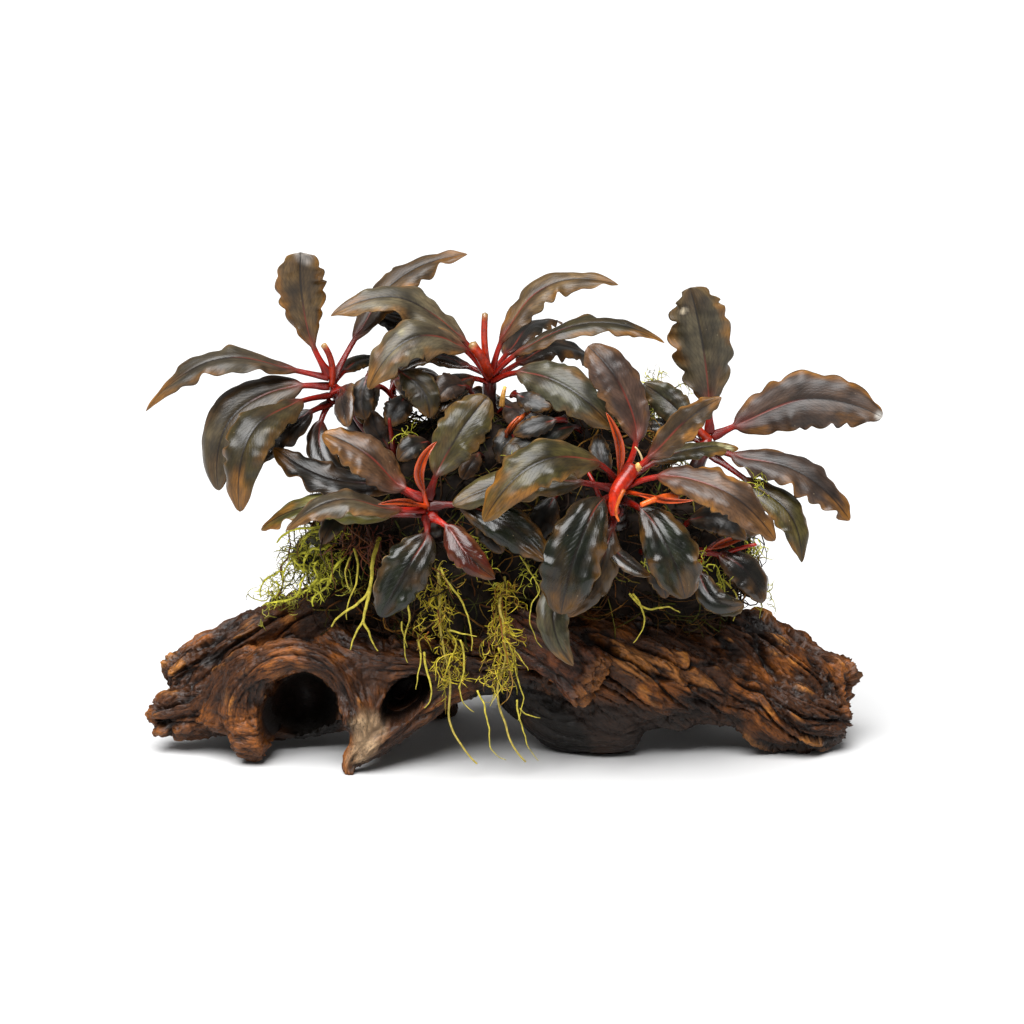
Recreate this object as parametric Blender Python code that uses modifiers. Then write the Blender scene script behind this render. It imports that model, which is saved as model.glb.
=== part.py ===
"""Red-stemmed aquarium plant clumps on a driftwood log, as separate closed solids.

Tables are in millimetres, read from the photograph: +X right, +Y away from the viewer,
+Z up, and Z = 0 is the table. The scene itself is in metres.

The log is modelled as round limbs that are fused by a voxel remesh, then split at its
forks. The root mat and the moss are fused ellipsoids. A leaf is a flat grid bent along a
curve through its base, neck, crest and tip, and given thickness.
"""

import math

import bmesh
import bpy
from mathutils import Matrix, Vector

MM = 0.001
GAP = 0.3
STEM_R = 2.4
LEAF_ROWS = 7
SMALL_ROWS = 4
BLADE_T = 0.8
PETIOLE_T = 1.4
PETIOLE_W = 1.7
TIP_W = 1.4
EDGE_DROP = 0.12
VIEW = Vector((0.0, 1.0, 0.0))

# Limbs of the log: rows of x, y, z and radius along each limb's middle.
TRUNK_LIMBS = {
    "upper_left": ((-101.5, 3, 15.5, 4.4), (-90, 6, 20.5, 6.6), (-78, 8, 25.5, 7.6),
                   (-64, 9, 29.5, 9), (-40, 8, 33, 12)),
    "lower_left": ((-105, -3, 9.5, 4.4), (-92, -4, 10.5, 7), (-80, -3, 13, 10),
                   (-62, 2, 20, 12), (-40, 6, 28, 13)),
    "cavity_back": ((-76, -3, 11, 8.5), (-62, -2, 12, 9.5), (-48, -2, 16, 10.5), (-34, -2, 24, 11)),
    "back_left": ((-86, 12, 13, 8), (-72, 16, 18, 11), (-50, 14, 25, 13), (-30, 8, 30, 13)),
    "trunk": ((-50, 7, 31, 13), (-28, 4, 31, 15), (-4, 3, 32, 16), (20, 3, 32, 17), (44, 5, 28, 16)),
    "trunk_front": ((-34, -8, 31, 8), (-14, -9, 27, 10), (8, -8, 30, 11), (28, -8, 25, 14),
                    (44, -6, 21, 14), (60, -5, 18, 11)),
    "upper_right": ((30, 6, 31, 16), (50, 7, 27.5, 15), (66, 7, 24.5, 13.3), (80, 6, 20, 11.8),
                    (90, 6, 16.5, 10.2), (95, 5, 14, 8.5)),
    "lower_right": ((34, -6, 16, 13), (52, -6, 16, 11.5), (66, -5, 13, 10.5), (78, -5, 9.5, 10.5),
                    (89, -2, 9, 9), (94, 0, 9, 7.5)),
    "foot": ((22, -4, 24, 11), (28, -6, 15, 12.5), (34, -5, 10.5, 10.5)),
    "belly": ((0, 1, 26, 10), (7, 0, 15, 10), (14, -3, 9.8, 10), (26, -6, 9.6, 10.5), (34, -6, 10, 10)),
    "back_foot_left": ((-14, 10, 26, 12), (-20, 24, 16, 9), (-22.5, 31, 7, 7.5), (-23, 33, -3, 7)),
    "back_foot_right": ((46, 12, 22, 12), (50, 26, 12, 9.5), (52, 32, 5, 8), (52.5, 33, -4, 7.5)),
}
LOOP_LIMBS = {
    "loop": ((-68, -13, 6, 8.2), (-73.5, -15, 14, 8), (-73, -17, 23, 6.8), (-66, -19, 30.5, 5.4),
             (-57, -20, 32.5, 4.8), (-49, -21, 28, 4.8), (-44.5, -22, 20, 4.8), (-43, -24, 13, 5.5)),
    "spur": ((-16, -12, 24, 8.5), (-26, -17.5, 17.5, 6), (-35.5, -21.5, 11.2, 6.2),
             (-41.5, -24.5, 6.2, 5.0), (-44.3, -25.8, 2.5, 3.2), (-44.8, -26, -2.5, 2.6)),
    "shoulder": ((-52, -9, 32, 7), (-40, -17, 28, 6), (-28, -18, 28, 4.6), (-17, -15, 26, 6)),
    "web": ((-38, -16, 28, 6), (-38, -18, 20, 6.5), (-38, -22, 12, 6)),
}
STUB_LIMB = ((-8, -9, 41, 6.5), (3, -17, 36, 5.8), (13, -22, 31, 5.8), (18, -24, 28.2, 6.2),
             (23, -26, 25.5, 6.6))
POCKET = ((-27.5, -25, 21.5), (6.5, 9, 4.4))
LEFT_CUT_X = -52.0
RIGHT_CUT_X = 38.0

# Ellipsoids: centre, then radii.
MAT = (
    ((-4, 8, 62), (50, 25, 33)),
    ((-28, 8, 62), (30, 22, 25)),
    ((18, 7, 66), (28, 23, 31)),
    ((44, 5, 54), (23, 21, 21)),
    ((-46, 4, 48), (18, 17, 17)),
    ((-30, 11, 77), (19, 15, 15)),
    ((-18, -10, 52), (20, 15, 17)),
    ((28, -9, 54), (24, 15, 20)),
)
MOSS_LEFT = (((-57, -6, 51), (11, 11, 11)), ((-63.5, -2, 44), (7, 9, 7)), ((-52, -12, 55), (8, 7, 8)))
MOSS_BACK = (((41, 34, 94), (10, 7, 9)), ((43, 28, 79), (9, 8, 11)))

# Hanging roots: x, y, z and radius from the mat down.
ROOT_BUNDLES = {
    "hanging_roots_long": ((-20, -20, 60, 3), (-20, -28, 52, 3.4), (-19, -30, 40, 3.2),
                           (-17, -31, 29, 1.5), (-16.5, -31, 16, 0.9), (-14, -30.5, 9, 0.8),
                           (-9.5, -30, 4, 0.7)),
    "hanging_roots_short": ((-2, -20, 54, 2), (-3, -28, 46, 2.2), (-2, -31, 34, 2.4),
                            (-4, -31, 25, 2.4), (-2, -30.5, 15, 1.3), (1, -30, 8, 1),
                            (4, -29, 4, 0.8)),
}

# Crowns: foot of the stem inside the mat, then the point that the petioles leave from.
CROWNS = {
    "A": ("crown_upper_left", (-40, 7, 82), (-50, -2, 104)),
    "B": ("crown_upper_middle", (-4, 8, 88), (-6, 2, 106)),
    "C": ("crown_front_middle", (-19, -16, 60), (-23, -30, 76)),
    "D": ("crown_front_right", (29, -16, 68), (29, -28, 80)),
    "E": ("crown_upper_right", (48, 10, 64), (56, 14, 86)),
    "F": ("crown_low_right", (46, -6, 53), (52, -14, 59.5)),
    "G": ("crown_middle_left", (-26, 15, 82), (-33.5, 8.5, 99)),
    "H": ("crown_back", (8, 24, 70), (10, 33, 84)),
}

# Leaves: crown, height of the base against the crown, neck, crest and tip, blade width,
# turn of the upper face (0 up, 90 towards the viewer, -90 away), outline.
LEAVES = {
    "leaf_a1": ("A", 2.2, (-61, -4, 109), (-76, -8, 113), (-100.5, -10, 98.5), 12, 28, "lance"),
    "leaf_a2": ("A", 1.8, (-55, -3, 116), (-57.5, -3, 128), (-57.5, -7, 141.5), 12.5, 88, "oval"),
    "leaf_a4": ("A", 1.2, (-42.5, 5, 118), (-33.5, 13, 130.5), (-12.5, 12, 139), 11.5, 40, "lance"),
    "leaf_a6": ("A", 0, (-59, -5, 104.5), (-76.5, -10, 97), (-80.5, -14, 77), 12.5, 40, "oval"),
    "leaf_a7": ("A", -2.4, (-59, -12, 101), (-69.5, -24, 96), (-73.5, -28, 74), 13, 55, "lance"),
    "leaf_a8": ("A", -4.6, (-56, -8, 97.5), (-63, -11, 93), (-73, -12, 83), 10.5, 48, "lance"),
    "leaf_b1": ("B", 0.8, (-14.5, 3.5, 117), (-32, 2, 128), (-50, -1, 123.5), 12.5, 35, "lance"),
    "leaf_b2": ("B", -1.3, (-14.5, -3.8, 115.5), (-26.5, -11, 119), (-39, -16, 105.5), 13, 48, "oval"),
    "leaf_b4": ("B", 0.5, (-2.5, 1, 117), (7, 3, 129.5), (29.5, 4, 131.5), 11, 36, "lance"),
    "leaf_b5": ("B", 0, (2, -2, 113.5), (22, -2, 121.5), (42, -4, 116.5), 10, 22, "lance"),
    "leaf_b6": ("B", -1, (3, -6, 108.5), (14.5, -14, 106), (27.5, -18, 95), 13, 60, "oval"),
    "leaf_b9": ("B", 0, (-1, 12, 111.5), (5, 24, 117), (14.5, 38, 116), 11, 30, "lance"),
    "leaf_b10": ("B", -1.2, (3, 11, 109), (13.5, 20, 112), (26, 27, 103.5), 11, 30, "oval"),
    "leaf_b12": ("B", 1.2, (-15, 11.5, 114), (-28, 14, 119.5), (-41.5, 18, 122.5), 11, 42, "oval"),
    "leaf_c1": ("C", -1.2, (-31, -34, 76), (-45.5, -39, 79.5), (-60, -42, 72), 12, 25, "lance"),
    "leaf_c2": ("C", 1.5, (-29.5, -29, 81), (-39.5, -29, 90.5), (-51, -25, 95), 12.5, 50, "oval"),
    "leaf_c3": ("C", 1, (-20, -28, 85), (-15, -27, 94), (-6.5, -22, 104.5), 13, 80, "blunt"),
    "leaf_c8": ("C", -2, (-23, -37, 69), (-27, -41, 63), (-35, -43, 48.5), 13, 90, "oval"),
    "leaf_c9": ("C", -2, (-17, -35, 71), (-13, -39, 66), (-4.5, -41, 58.5), 8.5, 70, "lance"),
    "leaf_c11": ("C", 0.5, (-31.5, -23, 79.5), (-50.5, -20, 82), (-65, -17, 89.5), 11, 40, "oval"),
    "leaf_c12": ("C", -2, (-34, -27, 73), (-54.5, -24, 75), (-68.5, -21, 67.5), 10, 35, "oval"),
    "leaf_c13": ("C", 0, (-13, -29, 76), (-1, -32, 71), (9.5, -36, 62.5), 11, 70, "oval"),
    "leaf_d1": ("D", 2.5, (22, -34, 89), (9.5, -41, 91), (-7.5, -45, 75), 13.5, 55, "oval"),
    "leaf_d2": ("D", 1.5, (33.5, -26, 95), (30, -24, 106), (20.5, -20, 118), 12.5, 75, "blunt"),
    "leaf_d4": ("D", 1.8, (38, -32, 91), (45.5, -33, 99), (55.5, -35, 106.5), 9.5, 50, "lance"),
    "leaf_d5": ("D", 1, (40, -26, 88), (51, -23, 90.5), (61.5, -20, 90), 8, 25, "oval"),
    "leaf_d6": ("D", 0.6, (41, -34, 85), (54, -39, 83), (70, -41, 69), 13, 45, "oval"),
    "leaf_d9": ("D", -1, (23.5, -37, 78.5), (17.5, -45, 68.5), (13, -48, 50.5), 16, 90, "blunt"),
    "leaf_d10": ("D", -4, (26.5, -33, 69.5), (23, -38, 59.5), (15, -41, 48), 10, 90, "lance"),
    "leaf_d11": ("D", -2.2, (35.5, -36, 75.5), (41.5, -43, 67), (46, -45, 54), 14, 90, "blunt"),
    "leaf_d14": ("D", -6, (14, -31, 56), (11, -37, 46), (16.5, -39, 34), 9, 90, "lance"),
    "leaf_d15": ("D", 0, (17, -29, 82.5), (-2, -30, 82), (-16, -31, 76.5), 11, 50, "oval"),
    "leaf_e1": ("E", 1, (55.5, 13, 98), (53.5, 12, 113.5), (49.5, 8, 130), 17, 88, "blunt"),
    "leaf_e2": ("E", 0.5, (64, 13, 90.5), (82.5, 11, 98), (104, 8, 93.5), 16, 68, "oval"),
    "leaf_e3": ("E", -2, (63, 10, 82), (78, 6, 79.5), (95, 3, 65), 12.5, 45, "oval"),
    "leaf_e4": ("E", -4, (67.5, 8, 74.5), (77, 3, 68), (81.5, 0, 53.5), 10, 60, "lance"),
    "leaf_e6": ("E", 0, (50.5, 17, 89.5), (46.5, 20, 94), (37.5, 23, 100.5), 9.5, 80, "oval"),
    "leaf_h1": ("H", 0.5, (2, 38, 90), (-10, 44, 92), (-24, 48, 82), 12.5, -55, "oval"),
    "leaf_h2": ("H", 1, (11, 39, 93), (14, 46, 92), (16, 49, 76), 12, -90, "lance"),
    "leaf_h3": ("H", 0.5, (18, 38, 89), (31, 43, 90), (44, 46, 80), 12.5, -55, "oval"),
    "leaf_h4": ("H", -2, (6, 40, 82), (0, 46, 74), (-6, 48, 56), 13, -90, "oval"),
}

# Small leaves that are one piece with their crown: same columns.
SMALL_LEAVES = {
    "A": (
        (-4, (-53, -5.5, 93.5), (-52.5, -9, 87), (-43.5, -15, 80), 8, 70, "oval"),
        (0, (-46, 3, 108), (-43, 7, 109.5), (-37, 10, 110), 6, 50, "oval"),
        (-2, (-46, -10, 104.5), (-46, -19, 103), (-44, -26, 97), 8, 90, "oval"),
    ),
    "B": (
        (0, (-13.5, 7, 108.5), (-23, 9, 111), (-34, 7, 104), 8, 25, "oval"),
        (-2, (-11.5, -1, 106), (-15.5, -6, 105), (-19.5, -11, 98.5), 8, 60, "oval"),
    ),
    "G": (
        (1, (-31.5, 4, 105), (-27, -2, 104), (-21, -8, 96), 9, 65, "oval"),
        (0, (-38, 3, 103), (-40, -1, 101), (-41, -6, 94), 7, 80, "oval"),
        (0, (-33, 14, 103), (-27, 20, 105), (-20, 25, 99), 9, -20, "oval"),
    ),
    "D": ((-6, (27, -33, 66), (31, -37, 62), (37, -39, 59), 6, 60, "oval"),),
    "E": ((-2, (51, 17, 86), (44, 20, 89), (37, 21.5, 88), 8, 40, "oval"),),
    "F": (
        (0, (58, -16, 59), (64, -18, 55.5), (69, -19, 46.5), 10, 60, "oval"),
        (-2, (51.5, -21, 54.5), (55, -25, 49), (63, -25, 47.5), 7, 80, "oval"),
        (0, (57, -9, 62.5), (62.5, -5, 64.5), (70, -1, 63), 8, 60, "oval"),
    ),
}

# Rolled new leaves and cut petioles, one piece with their crown: middle, tip, radii.
SPEARS = {
    "A": (((-50, -3.5, 112), (-51.8, -5, 116), 0.8, 0.6),),
    "B": (((-7.6, -0.8, 116), (-7.4, -1, 124.5), 1.1, 1.1),),
    "C": (((-24.5, -33, 86), (-20, -32, 94), 1.6, 0.4),
          ((-29.5, -38.5, 79), (-35.5, -42, 79), 0.9, 0.3)),
    "D": (((28.5, -32.5, 93), (25, -32.5, 102), 1.3, 0.4),
          ((41.5, -40, 79.5), (48, -44, 80.5), 0.9, 0.3)),
    "E": (((52, 12, 90), (50, 10, 95), 1.0, 0.6),),
    "F": (((59, -14, 62.5), (64.5, -16, 64.5), 1.2, 0.4),),
    "H": (((8, 32, 92), (6.5, 31, 98), 1.1, 0.4),),
}

OUTLINES = {"lance": (0.85, 0.85), "oval": (0.95, 0.65), "blunt": (1.2, 0.55)}

COLOURS = {
    "wood": (0.12, 0.06, 0.03),
    "mat": (0.05, 0.03, 0.02),
    "moss": (0.30, 0.38, 0.04),
    "roots": (0.45, 0.42, 0.08),
    "stem": (0.40, 0.03, 0.02),
    "leaf": (0.13, 0.11, 0.09),
}


def clear_scene():
    for obj in list(bpy.data.objects):
        bpy.data.objects.remove(obj)


def new_collection(name):
    collection = bpy.data.collections.new(name)
    bpy.context.scene.collection.children.link(collection)
    return collection


def material_for(name, kind):
    """One Principled material per object, in the colour of its kind."""
    material = bpy.data.materials.new(name + "_material")
    material.use_nodes = True
    shader = material.node_tree.nodes["Principled BSDF"]
    shader.inputs["Base Color"].default_value = COLOURS[kind] + (1.0,)
    shader.inputs["Roughness"].default_value = 0.5
    return material


def as_mesh(obj):
    """The evaluated mesh of an object, welded, with its modifiers applied."""
    bpy.context.view_layer.update()
    evaluated = obj.evaluated_get(bpy.context.evaluated_depsgraph_get())
    mesh = bpy.data.meshes.new_from_object(evaluated)
    work = bmesh.new()
    work.from_mesh(mesh)
    bmesh.ops.remove_doubles(work, verts=work.verts, dist=0.00001)
    bmesh.ops.recalc_face_normals(work, faces=work.faces)
    work.to_mesh(mesh)
    work.free()
    return mesh


def place(name, mesh, collection):
    obj = bpy.data.objects.new(name, mesh)
    collection.objects.link(obj)
    return obj


def frozen(obj, name, collection):
    """A copy of the object with its modifiers applied; the original is removed."""
    mesh = as_mesh(obj)
    bpy.data.objects.remove(obj)
    return place(name, mesh, collection)


def tube(name, rows, collection, sides=1, steps=3):
    """A round limb through the rows, with flat welded ends."""
    curve = bpy.data.curves.new(name, "CURVE")
    curve.dimensions = "3D"
    curve.resolution_u = steps
    curve.bevel_depth = 1.0
    curve.bevel_resolution = sides
    curve.use_fill_caps = True
    spline = curve.splines.new("BEZIER")
    spline.bezier_points.add(len(rows) - 1)
    for point, row in zip(spline.bezier_points, rows):
        point.co = Vector(row[:3]) * MM
        point.radius = row[3] * MM
        point.handle_left_type = "AUTO"
        point.handle_right_type = "AUTO"
    return frozen(place(name, curve, collection), name, collection)


def ellipsoid(name, centre, radii, collection):
    work = bmesh.new()
    bmesh.ops.create_icosphere(work, subdivisions=3, radius=1.0)
    scale = Matrix.Diagonal(Vector(radii) * MM).to_4x4()
    shift = Matrix.Translation(Vector(centre) * MM)
    bmesh.ops.transform(work, matrix=shift @ scale, verts=work.verts)
    mesh = bpy.data.meshes.new(name)
    work.to_mesh(mesh)
    work.free()
    return place(name, mesh, collection)


def block(name, low, high, collection):
    """A box between two corners in millimetres."""
    low, high = Vector(low) * MM, Vector(high) * MM
    size = Matrix.Diagonal(high - low).to_4x4()
    middle = Matrix.Translation((low + high) / 2)
    work = bmesh.new()
    bmesh.ops.create_cube(work, size=1.0)
    bmesh.ops.transform(work, matrix=middle @ size, verts=work.verts)
    mesh = bpy.data.meshes.new(name)
    work.to_mesh(mesh)
    work.free()
    return place(name, mesh, collection)


def fused(name, parts, voxel, faces, smoothing, collection):
    """Joins overlapping bodies by a voxel remesh, smooths them and thins them to a face count."""
    joined = bmesh.new()
    for part in parts:
        joined.from_mesh(part.data)
    mesh = bpy.data.meshes.new(name)
    joined.to_mesh(mesh)
    joined.free()
    for part in parts:
        bpy.data.objects.remove(part)
    obj = place(name, mesh, collection)
    remesh = obj.modifiers.new("remesh", "REMESH")
    remesh.mode = "VOXEL"
    remesh.voxel_size = voxel * MM
    smooth = obj.modifiers.new("smooth", "SMOOTH")
    smooth.factor = 0.5
    smooth.iterations = smoothing
    obj = frozen(obj, name, collection)
    triangles = sum(len(face.vertices) - 2 for face in obj.data.polygons)
    thin = obj.modifiers.new("thin", "DECIMATE")
    thin.ratio = min(1.0, faces / triangles)
    return frozen(obj, name, collection)


def swollen(obj, name, collection, amount):
    """A copy of the body grown along its normals, to cut others clear of it."""
    copy = place(name, as_mesh(obj), collection)
    grow = copy.modifiers.new("grow", "DISPLACE")
    grow.mid_level = 0.0
    grow.strength = amount * MM
    return frozen(copy, name, collection)


def boolean(obj, other, operation):
    modifier = obj.modifiers.new(operation.lower(), "BOOLEAN")
    modifier.operation = operation
    modifier.solver = "EXACT"
    modifier.object = other
    return obj


def keep_largest(obj):
    """Drops loose crumbs that a cut leaves, keeping the piece with the most corners."""
    work = bmesh.new()
    work.from_mesh(obj.data)
    left = set(work.verts)
    islands = []
    while left:
        stack = [left.pop()]
        island = set(stack)
        while stack:
            for edge in stack.pop().link_edges:
                for vert in edge.verts:
                    if vert in left:
                        left.remove(vert)
                        island.add(vert)
                        stack.append(vert)
        islands.append(island)
    islands.sort(key=len)
    crumbs = [vert for island in islands[:-1] for vert in island]
    bmesh.ops.delete(work, geom=crumbs, context="VERTS")
    work.to_mesh(obj.data)
    work.free()
    return obj


def finished(obj, name, kind, collection):
    """Applies the cuts, keeps one closed piece and gives it its material."""
    obj = keep_largest(frozen(obj, name, collection))
    obj.data.name = name
    obj.data.materials.append(material_for(name, kind))
    return obj


def spline_point(points, times, t):
    """A point on the smooth curve that passes each point at its time."""
    last = len(points) - 1
    slopes = []
    for i in range(1, last):
        before = (points[i] - points[i - 1]) / (times[i] - times[i - 1])
        after = (points[i + 1] - points[i]) / (times[i + 1] - times[i])
        span = times[i + 1] - times[i - 1]
        slopes.append((before * (times[i + 1] - times[i]) + after * (times[i] - times[i - 1])) / span)
    first = 2 * (points[1] - points[0]) / (times[1] - times[0]) - slopes[0]
    final = 2 * (points[last] - points[last - 1]) / (times[last] - times[last - 1]) - slopes[-1]
    slopes = [first] + slopes + [final]
    i = min(sum(1 for k in times[1:-1] if t > k), last - 1)
    span = times[i + 1] - times[i]
    u = (t - times[i]) / span
    a = points[i] * (2 * u ** 3 - 3 * u ** 2 + 1) + slopes[i] * span * (u ** 3 - 2 * u ** 2 + u)
    b = points[i + 1] * (3 * u ** 2 - 2 * u ** 3) + slopes[i + 1] * span * (u ** 3 - u ** 2)
    return a + b


def blade_width(t, start, width, outline):
    """Full width at t from 0 at the base to 1 at the tip; the blade begins at start."""
    if t <= start:
        return PETIOLE_W
    k, p = OUTLINES[outline]
    along = (t - start) / (1.0 - start)
    blade = width * math.sin(math.pi * min(1.0, along ** k)) ** p
    return max(blade, PETIOLE_W * (1.0 - along) + TIP_W * along)


def leaf(name, crown, row, fuse, collection):
    """A bent blade with its petiole, from just off the stem, or from inside it if fused."""
    rise, neck, crest, tip, width, turn, outline = row
    centre = Vector(CROWNS[crown][2]) + Vector((0, 0, rise))
    neck, crest, tip = Vector(neck), Vector(crest), Vector(tip)
    off = 0.0 if fuse else STEM_R + 0.55
    base = centre + (neck - centre).normalized() * off
    points = [base, neck, crest, tip]
    times = [0.0]
    for a, b in zip(points, points[1:]):
        times.append(times[-1] + (b - a).length)
    times = [t / times[-1] for t in times]
    chord = (tip - base).normalized()
    up = VIEW.cross(chord)
    up = (up if up.z >= 0 else -up).normalized()
    angle = math.radians(turn)
    facing = up * math.cos(angle) - VIEW * math.sin(angle)
    across_hint = chord.cross(facing)
    start = 0.8 * times[1]
    work = bmesh.new()
    rows = SMALL_ROWS if fuse else LEAF_ROWS
    bmesh.ops.create_grid(work, x_segments=rows, y_segments=2, size=1.0)
    weights = {}
    for vert in work.verts:
        t = (vert.co.x + 1.0) / 2.0
        side = vert.co.y
        here = spline_point(points, times, t)
        ahead = spline_point(points, times, min(1.0, t + 0.01))
        behind = spline_point(points, times, max(0.0, t - 0.01))
        along = (ahead - behind).normalized()
        across = (across_hint - along * across_hint.dot(along)).normalized()
        normal = across.cross(along)
        half = blade_width(t, start, width, outline) / 2.0
        drop = EDGE_DROP * half * abs(side) if t > start else 0.0
        vert.co = (here + across * side * half - normal * drop) * MM
        weights[vert.index] = max(0.0, min(1.0, 1.0 - (t - start) / 0.25))
    mesh = bpy.data.meshes.new(name)
    work.to_mesh(mesh)
    work.free()
    obj = place(name, mesh, collection)
    group = obj.vertex_groups.new(name="petiole")
    for index, weight in weights.items():
        group.add([index], weight, "REPLACE")
    solid = obj.modifiers.new("solid", "SOLIDIFY")
    solid.thickness = PETIOLE_T * MM
    solid.offset = 0.0
    solid.vertex_group = group.name
    solid.thickness_vertex_group = BLADE_T / PETIOLE_T
    return frozen(obj, name, collection)


def build_wood(pieces, cutters):
    """The log: trunk with its limbs in three pieces, the looping root with the spur, the stub."""
    limbs = [tube("limb_" + key, rows, cutters, 3) for key, rows in TRUNK_LIMBS.items()]
    log = fused("log", limbs, 2.4, 1080, 2, cutters)
    ground = block("ground", (-200, -100, -60), (200, 100, 0), cutters)
    log = frozen(boolean(log, ground, "DIFFERENCE"), "log", cutters)
    log_swollen = swollen(log, "log_swollen", cutters, GAP)
    limbs = [tube("limb_" + key, rows, cutters, 3) for key, rows in LOOP_LIMBS.items()]
    loop = fused("loop", limbs, 1.8, 480, 2, cutters)
    loop = boolean(loop, ground, "DIFFERENCE")
    loop = boolean(loop, ellipsoid("pocket", *POCKET, cutters), "DIFFERENCE")
    loop = keep_largest(frozen(boolean(loop, log_swollen, "DIFFERENCE"), "loop", cutters))
    loop_swollen = swollen(loop, "loop_swollen", cutters, GAP)
    stub = tube("stub", STUB_LIMB, cutters, 3)
    stub = boolean(stub, log_swollen, "DIFFERENCE")
    stub = keep_largest(frozen(boolean(stub, loop_swollen, "DIFFERENCE"), "stub", cutters))
    stub_swollen = swollen(stub, "stub_swollen", cutters, GAP)
    half = GAP / 2
    spans = {
        "driftwood_left_limb": (-200, LEFT_CUT_X - half),
        "driftwood_trunk": (LEFT_CUT_X + half, RIGHT_CUT_X - half),
        "driftwood_right_limb": (RIGHT_CUT_X + half, 200),
    }
    for name, (low, high) in spans.items():
        part = place(name, log.data.copy(), cutters)
        region = block("region_" + name, (low, -100, -10), (high, 100, 100), cutters)
        finished(boolean(part, region, "INTERSECT"), name, "wood", pieces)
    finished(loop, "driftwood_root_loop", "wood", pieces)
    finished(stub, "driftwood_stub", "wood", pieces)
    return [log_swollen, loop_swollen, stub_swollen]


def build_mat(pieces, cutters, wood):
    """The dark root mat on the log, cut clear of the wood."""
    blobs = [ellipsoid("blob", c, r, cutters) for c, r in MAT]
    mat = fused("mat", blobs, 4.0, 240, 3, cutters)
    mat_swollen = swollen(mat, "mat_swollen", cutters, GAP)
    for other in wood:
        mat = boolean(mat, other, "DIFFERENCE")
    finished(mat, "root_mat", "mat", pieces)
    return mat_swollen


def build_tufts(pieces, cutters, clear_of):
    for name, rows in (("moss_left", MOSS_LEFT), ("moss_back", MOSS_BACK)):
        blobs = [ellipsoid("blob", c, r, cutters) for c, r in rows]
        moss = fused(name, blobs, 2.4, 120, 2, cutters)
        for other in clear_of:
            moss = boolean(moss, other, "DIFFERENCE")
        finished(moss, name, "moss", pieces)
    for name, rows in ROOT_BUNDLES.items():
        bundle = tube(name, rows, cutters, 1, 2)
        for other in clear_of:
            bundle = boolean(bundle, other, "DIFFERENCE")
        finished(bundle, name, "roots", pieces)


def build_crowns(pieces, cutters, mat_swollen):
    """Short rhizome stems with their rolled leaves, cut petioles and smallest leaves."""
    for crown, (name, foot, centre) in CROWNS.items():
        foot, centre = Vector(foot), Vector(centre)
        rows = (
            (*foot, 3.2),
            (*foot.lerp(centre, 0.6), 2.8),
            (*centre, STEM_R),
            (*(centre + Vector((0, 0, 1.5))), 1.2),
        )
        stem = tube(name, rows, cutters, 1, 2)
        for middle, tip, r_middle, r_tip in SPEARS.get(crown, ()):
            rows = ((*centre, 1.0), (*middle, r_middle), (*tip, r_tip))
            spear = tube("spear", rows, cutters, 1, 2)
            stem = frozen(boolean(stem, spear, "UNION"), name, cutters)
        for row in SMALL_LEAVES.get(crown, ()):
            small = leaf("small", crown, row, True, cutters)
            stem = frozen(boolean(stem, small, "UNION"), name, cutters)
        stem = boolean(stem, mat_swollen, "DIFFERENCE")
        finished(stem, name, "stem", pieces)


def build_leaves(pieces, cutters):
    for name, row in LEAVES.items():
        finished(leaf(name, row[0], row[1:], False, cutters), name, "leaf", pieces)


def main():
    clear_scene()
    pieces = new_collection("bucephalandra_on_driftwood")
    cutters = new_collection("cutters")
    wood = build_wood(pieces, cutters)
    mat_swollen = build_mat(pieces, cutters, wood)
    build_tufts(pieces, cutters, wood + [mat_swollen])
    build_crowns(pieces, cutters, mat_swollen)
    build_leaves(pieces, cutters)
    for obj in cutters.objects:
        obj.hide_render = True
        obj.display_type = "WIRE"


main()
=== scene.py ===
"""Looks of a clump of red-stemmed aquarium plants on a driftwood log.

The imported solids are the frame. Every new surface is worked out from the same centre lines
as the solids, as whole numpy arrays, and stands in place of the solid that it dresses.
Tables are in millimetres: +X right, +Y away from the viewer, +Z up, Z = 0 is the table.
"""

import math

import bpy
import numpy as np
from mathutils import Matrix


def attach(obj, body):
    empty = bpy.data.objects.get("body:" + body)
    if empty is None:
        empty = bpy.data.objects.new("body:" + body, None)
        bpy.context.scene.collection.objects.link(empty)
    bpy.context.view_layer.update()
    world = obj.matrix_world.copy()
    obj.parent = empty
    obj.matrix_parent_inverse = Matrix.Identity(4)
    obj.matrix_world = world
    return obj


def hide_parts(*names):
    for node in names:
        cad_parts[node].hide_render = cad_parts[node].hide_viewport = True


bl_info = {
    "name": "Aquarium plant on driftwood",
    "version": (1, 0, 0),
    "blender": (4, 5, 0),
    "location": "View3D > Sidebar > Driftwood plant",
    "description": "Builds the log, root mat, moss, roots, crowns and leaves",
    "category": "Object",
}

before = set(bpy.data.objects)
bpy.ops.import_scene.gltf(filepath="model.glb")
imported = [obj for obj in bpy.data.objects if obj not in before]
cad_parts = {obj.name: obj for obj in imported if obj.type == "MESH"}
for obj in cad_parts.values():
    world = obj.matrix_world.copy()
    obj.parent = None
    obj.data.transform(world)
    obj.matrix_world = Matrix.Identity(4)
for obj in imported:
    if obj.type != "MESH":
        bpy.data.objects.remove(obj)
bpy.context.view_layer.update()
MM = 0.001
STEM_R = 2.4
EDGE_DROP = 0.12
PETIOLE_HALF = 0.78
VIEW = np.array([0.0, 1.0, 0.0])

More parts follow.
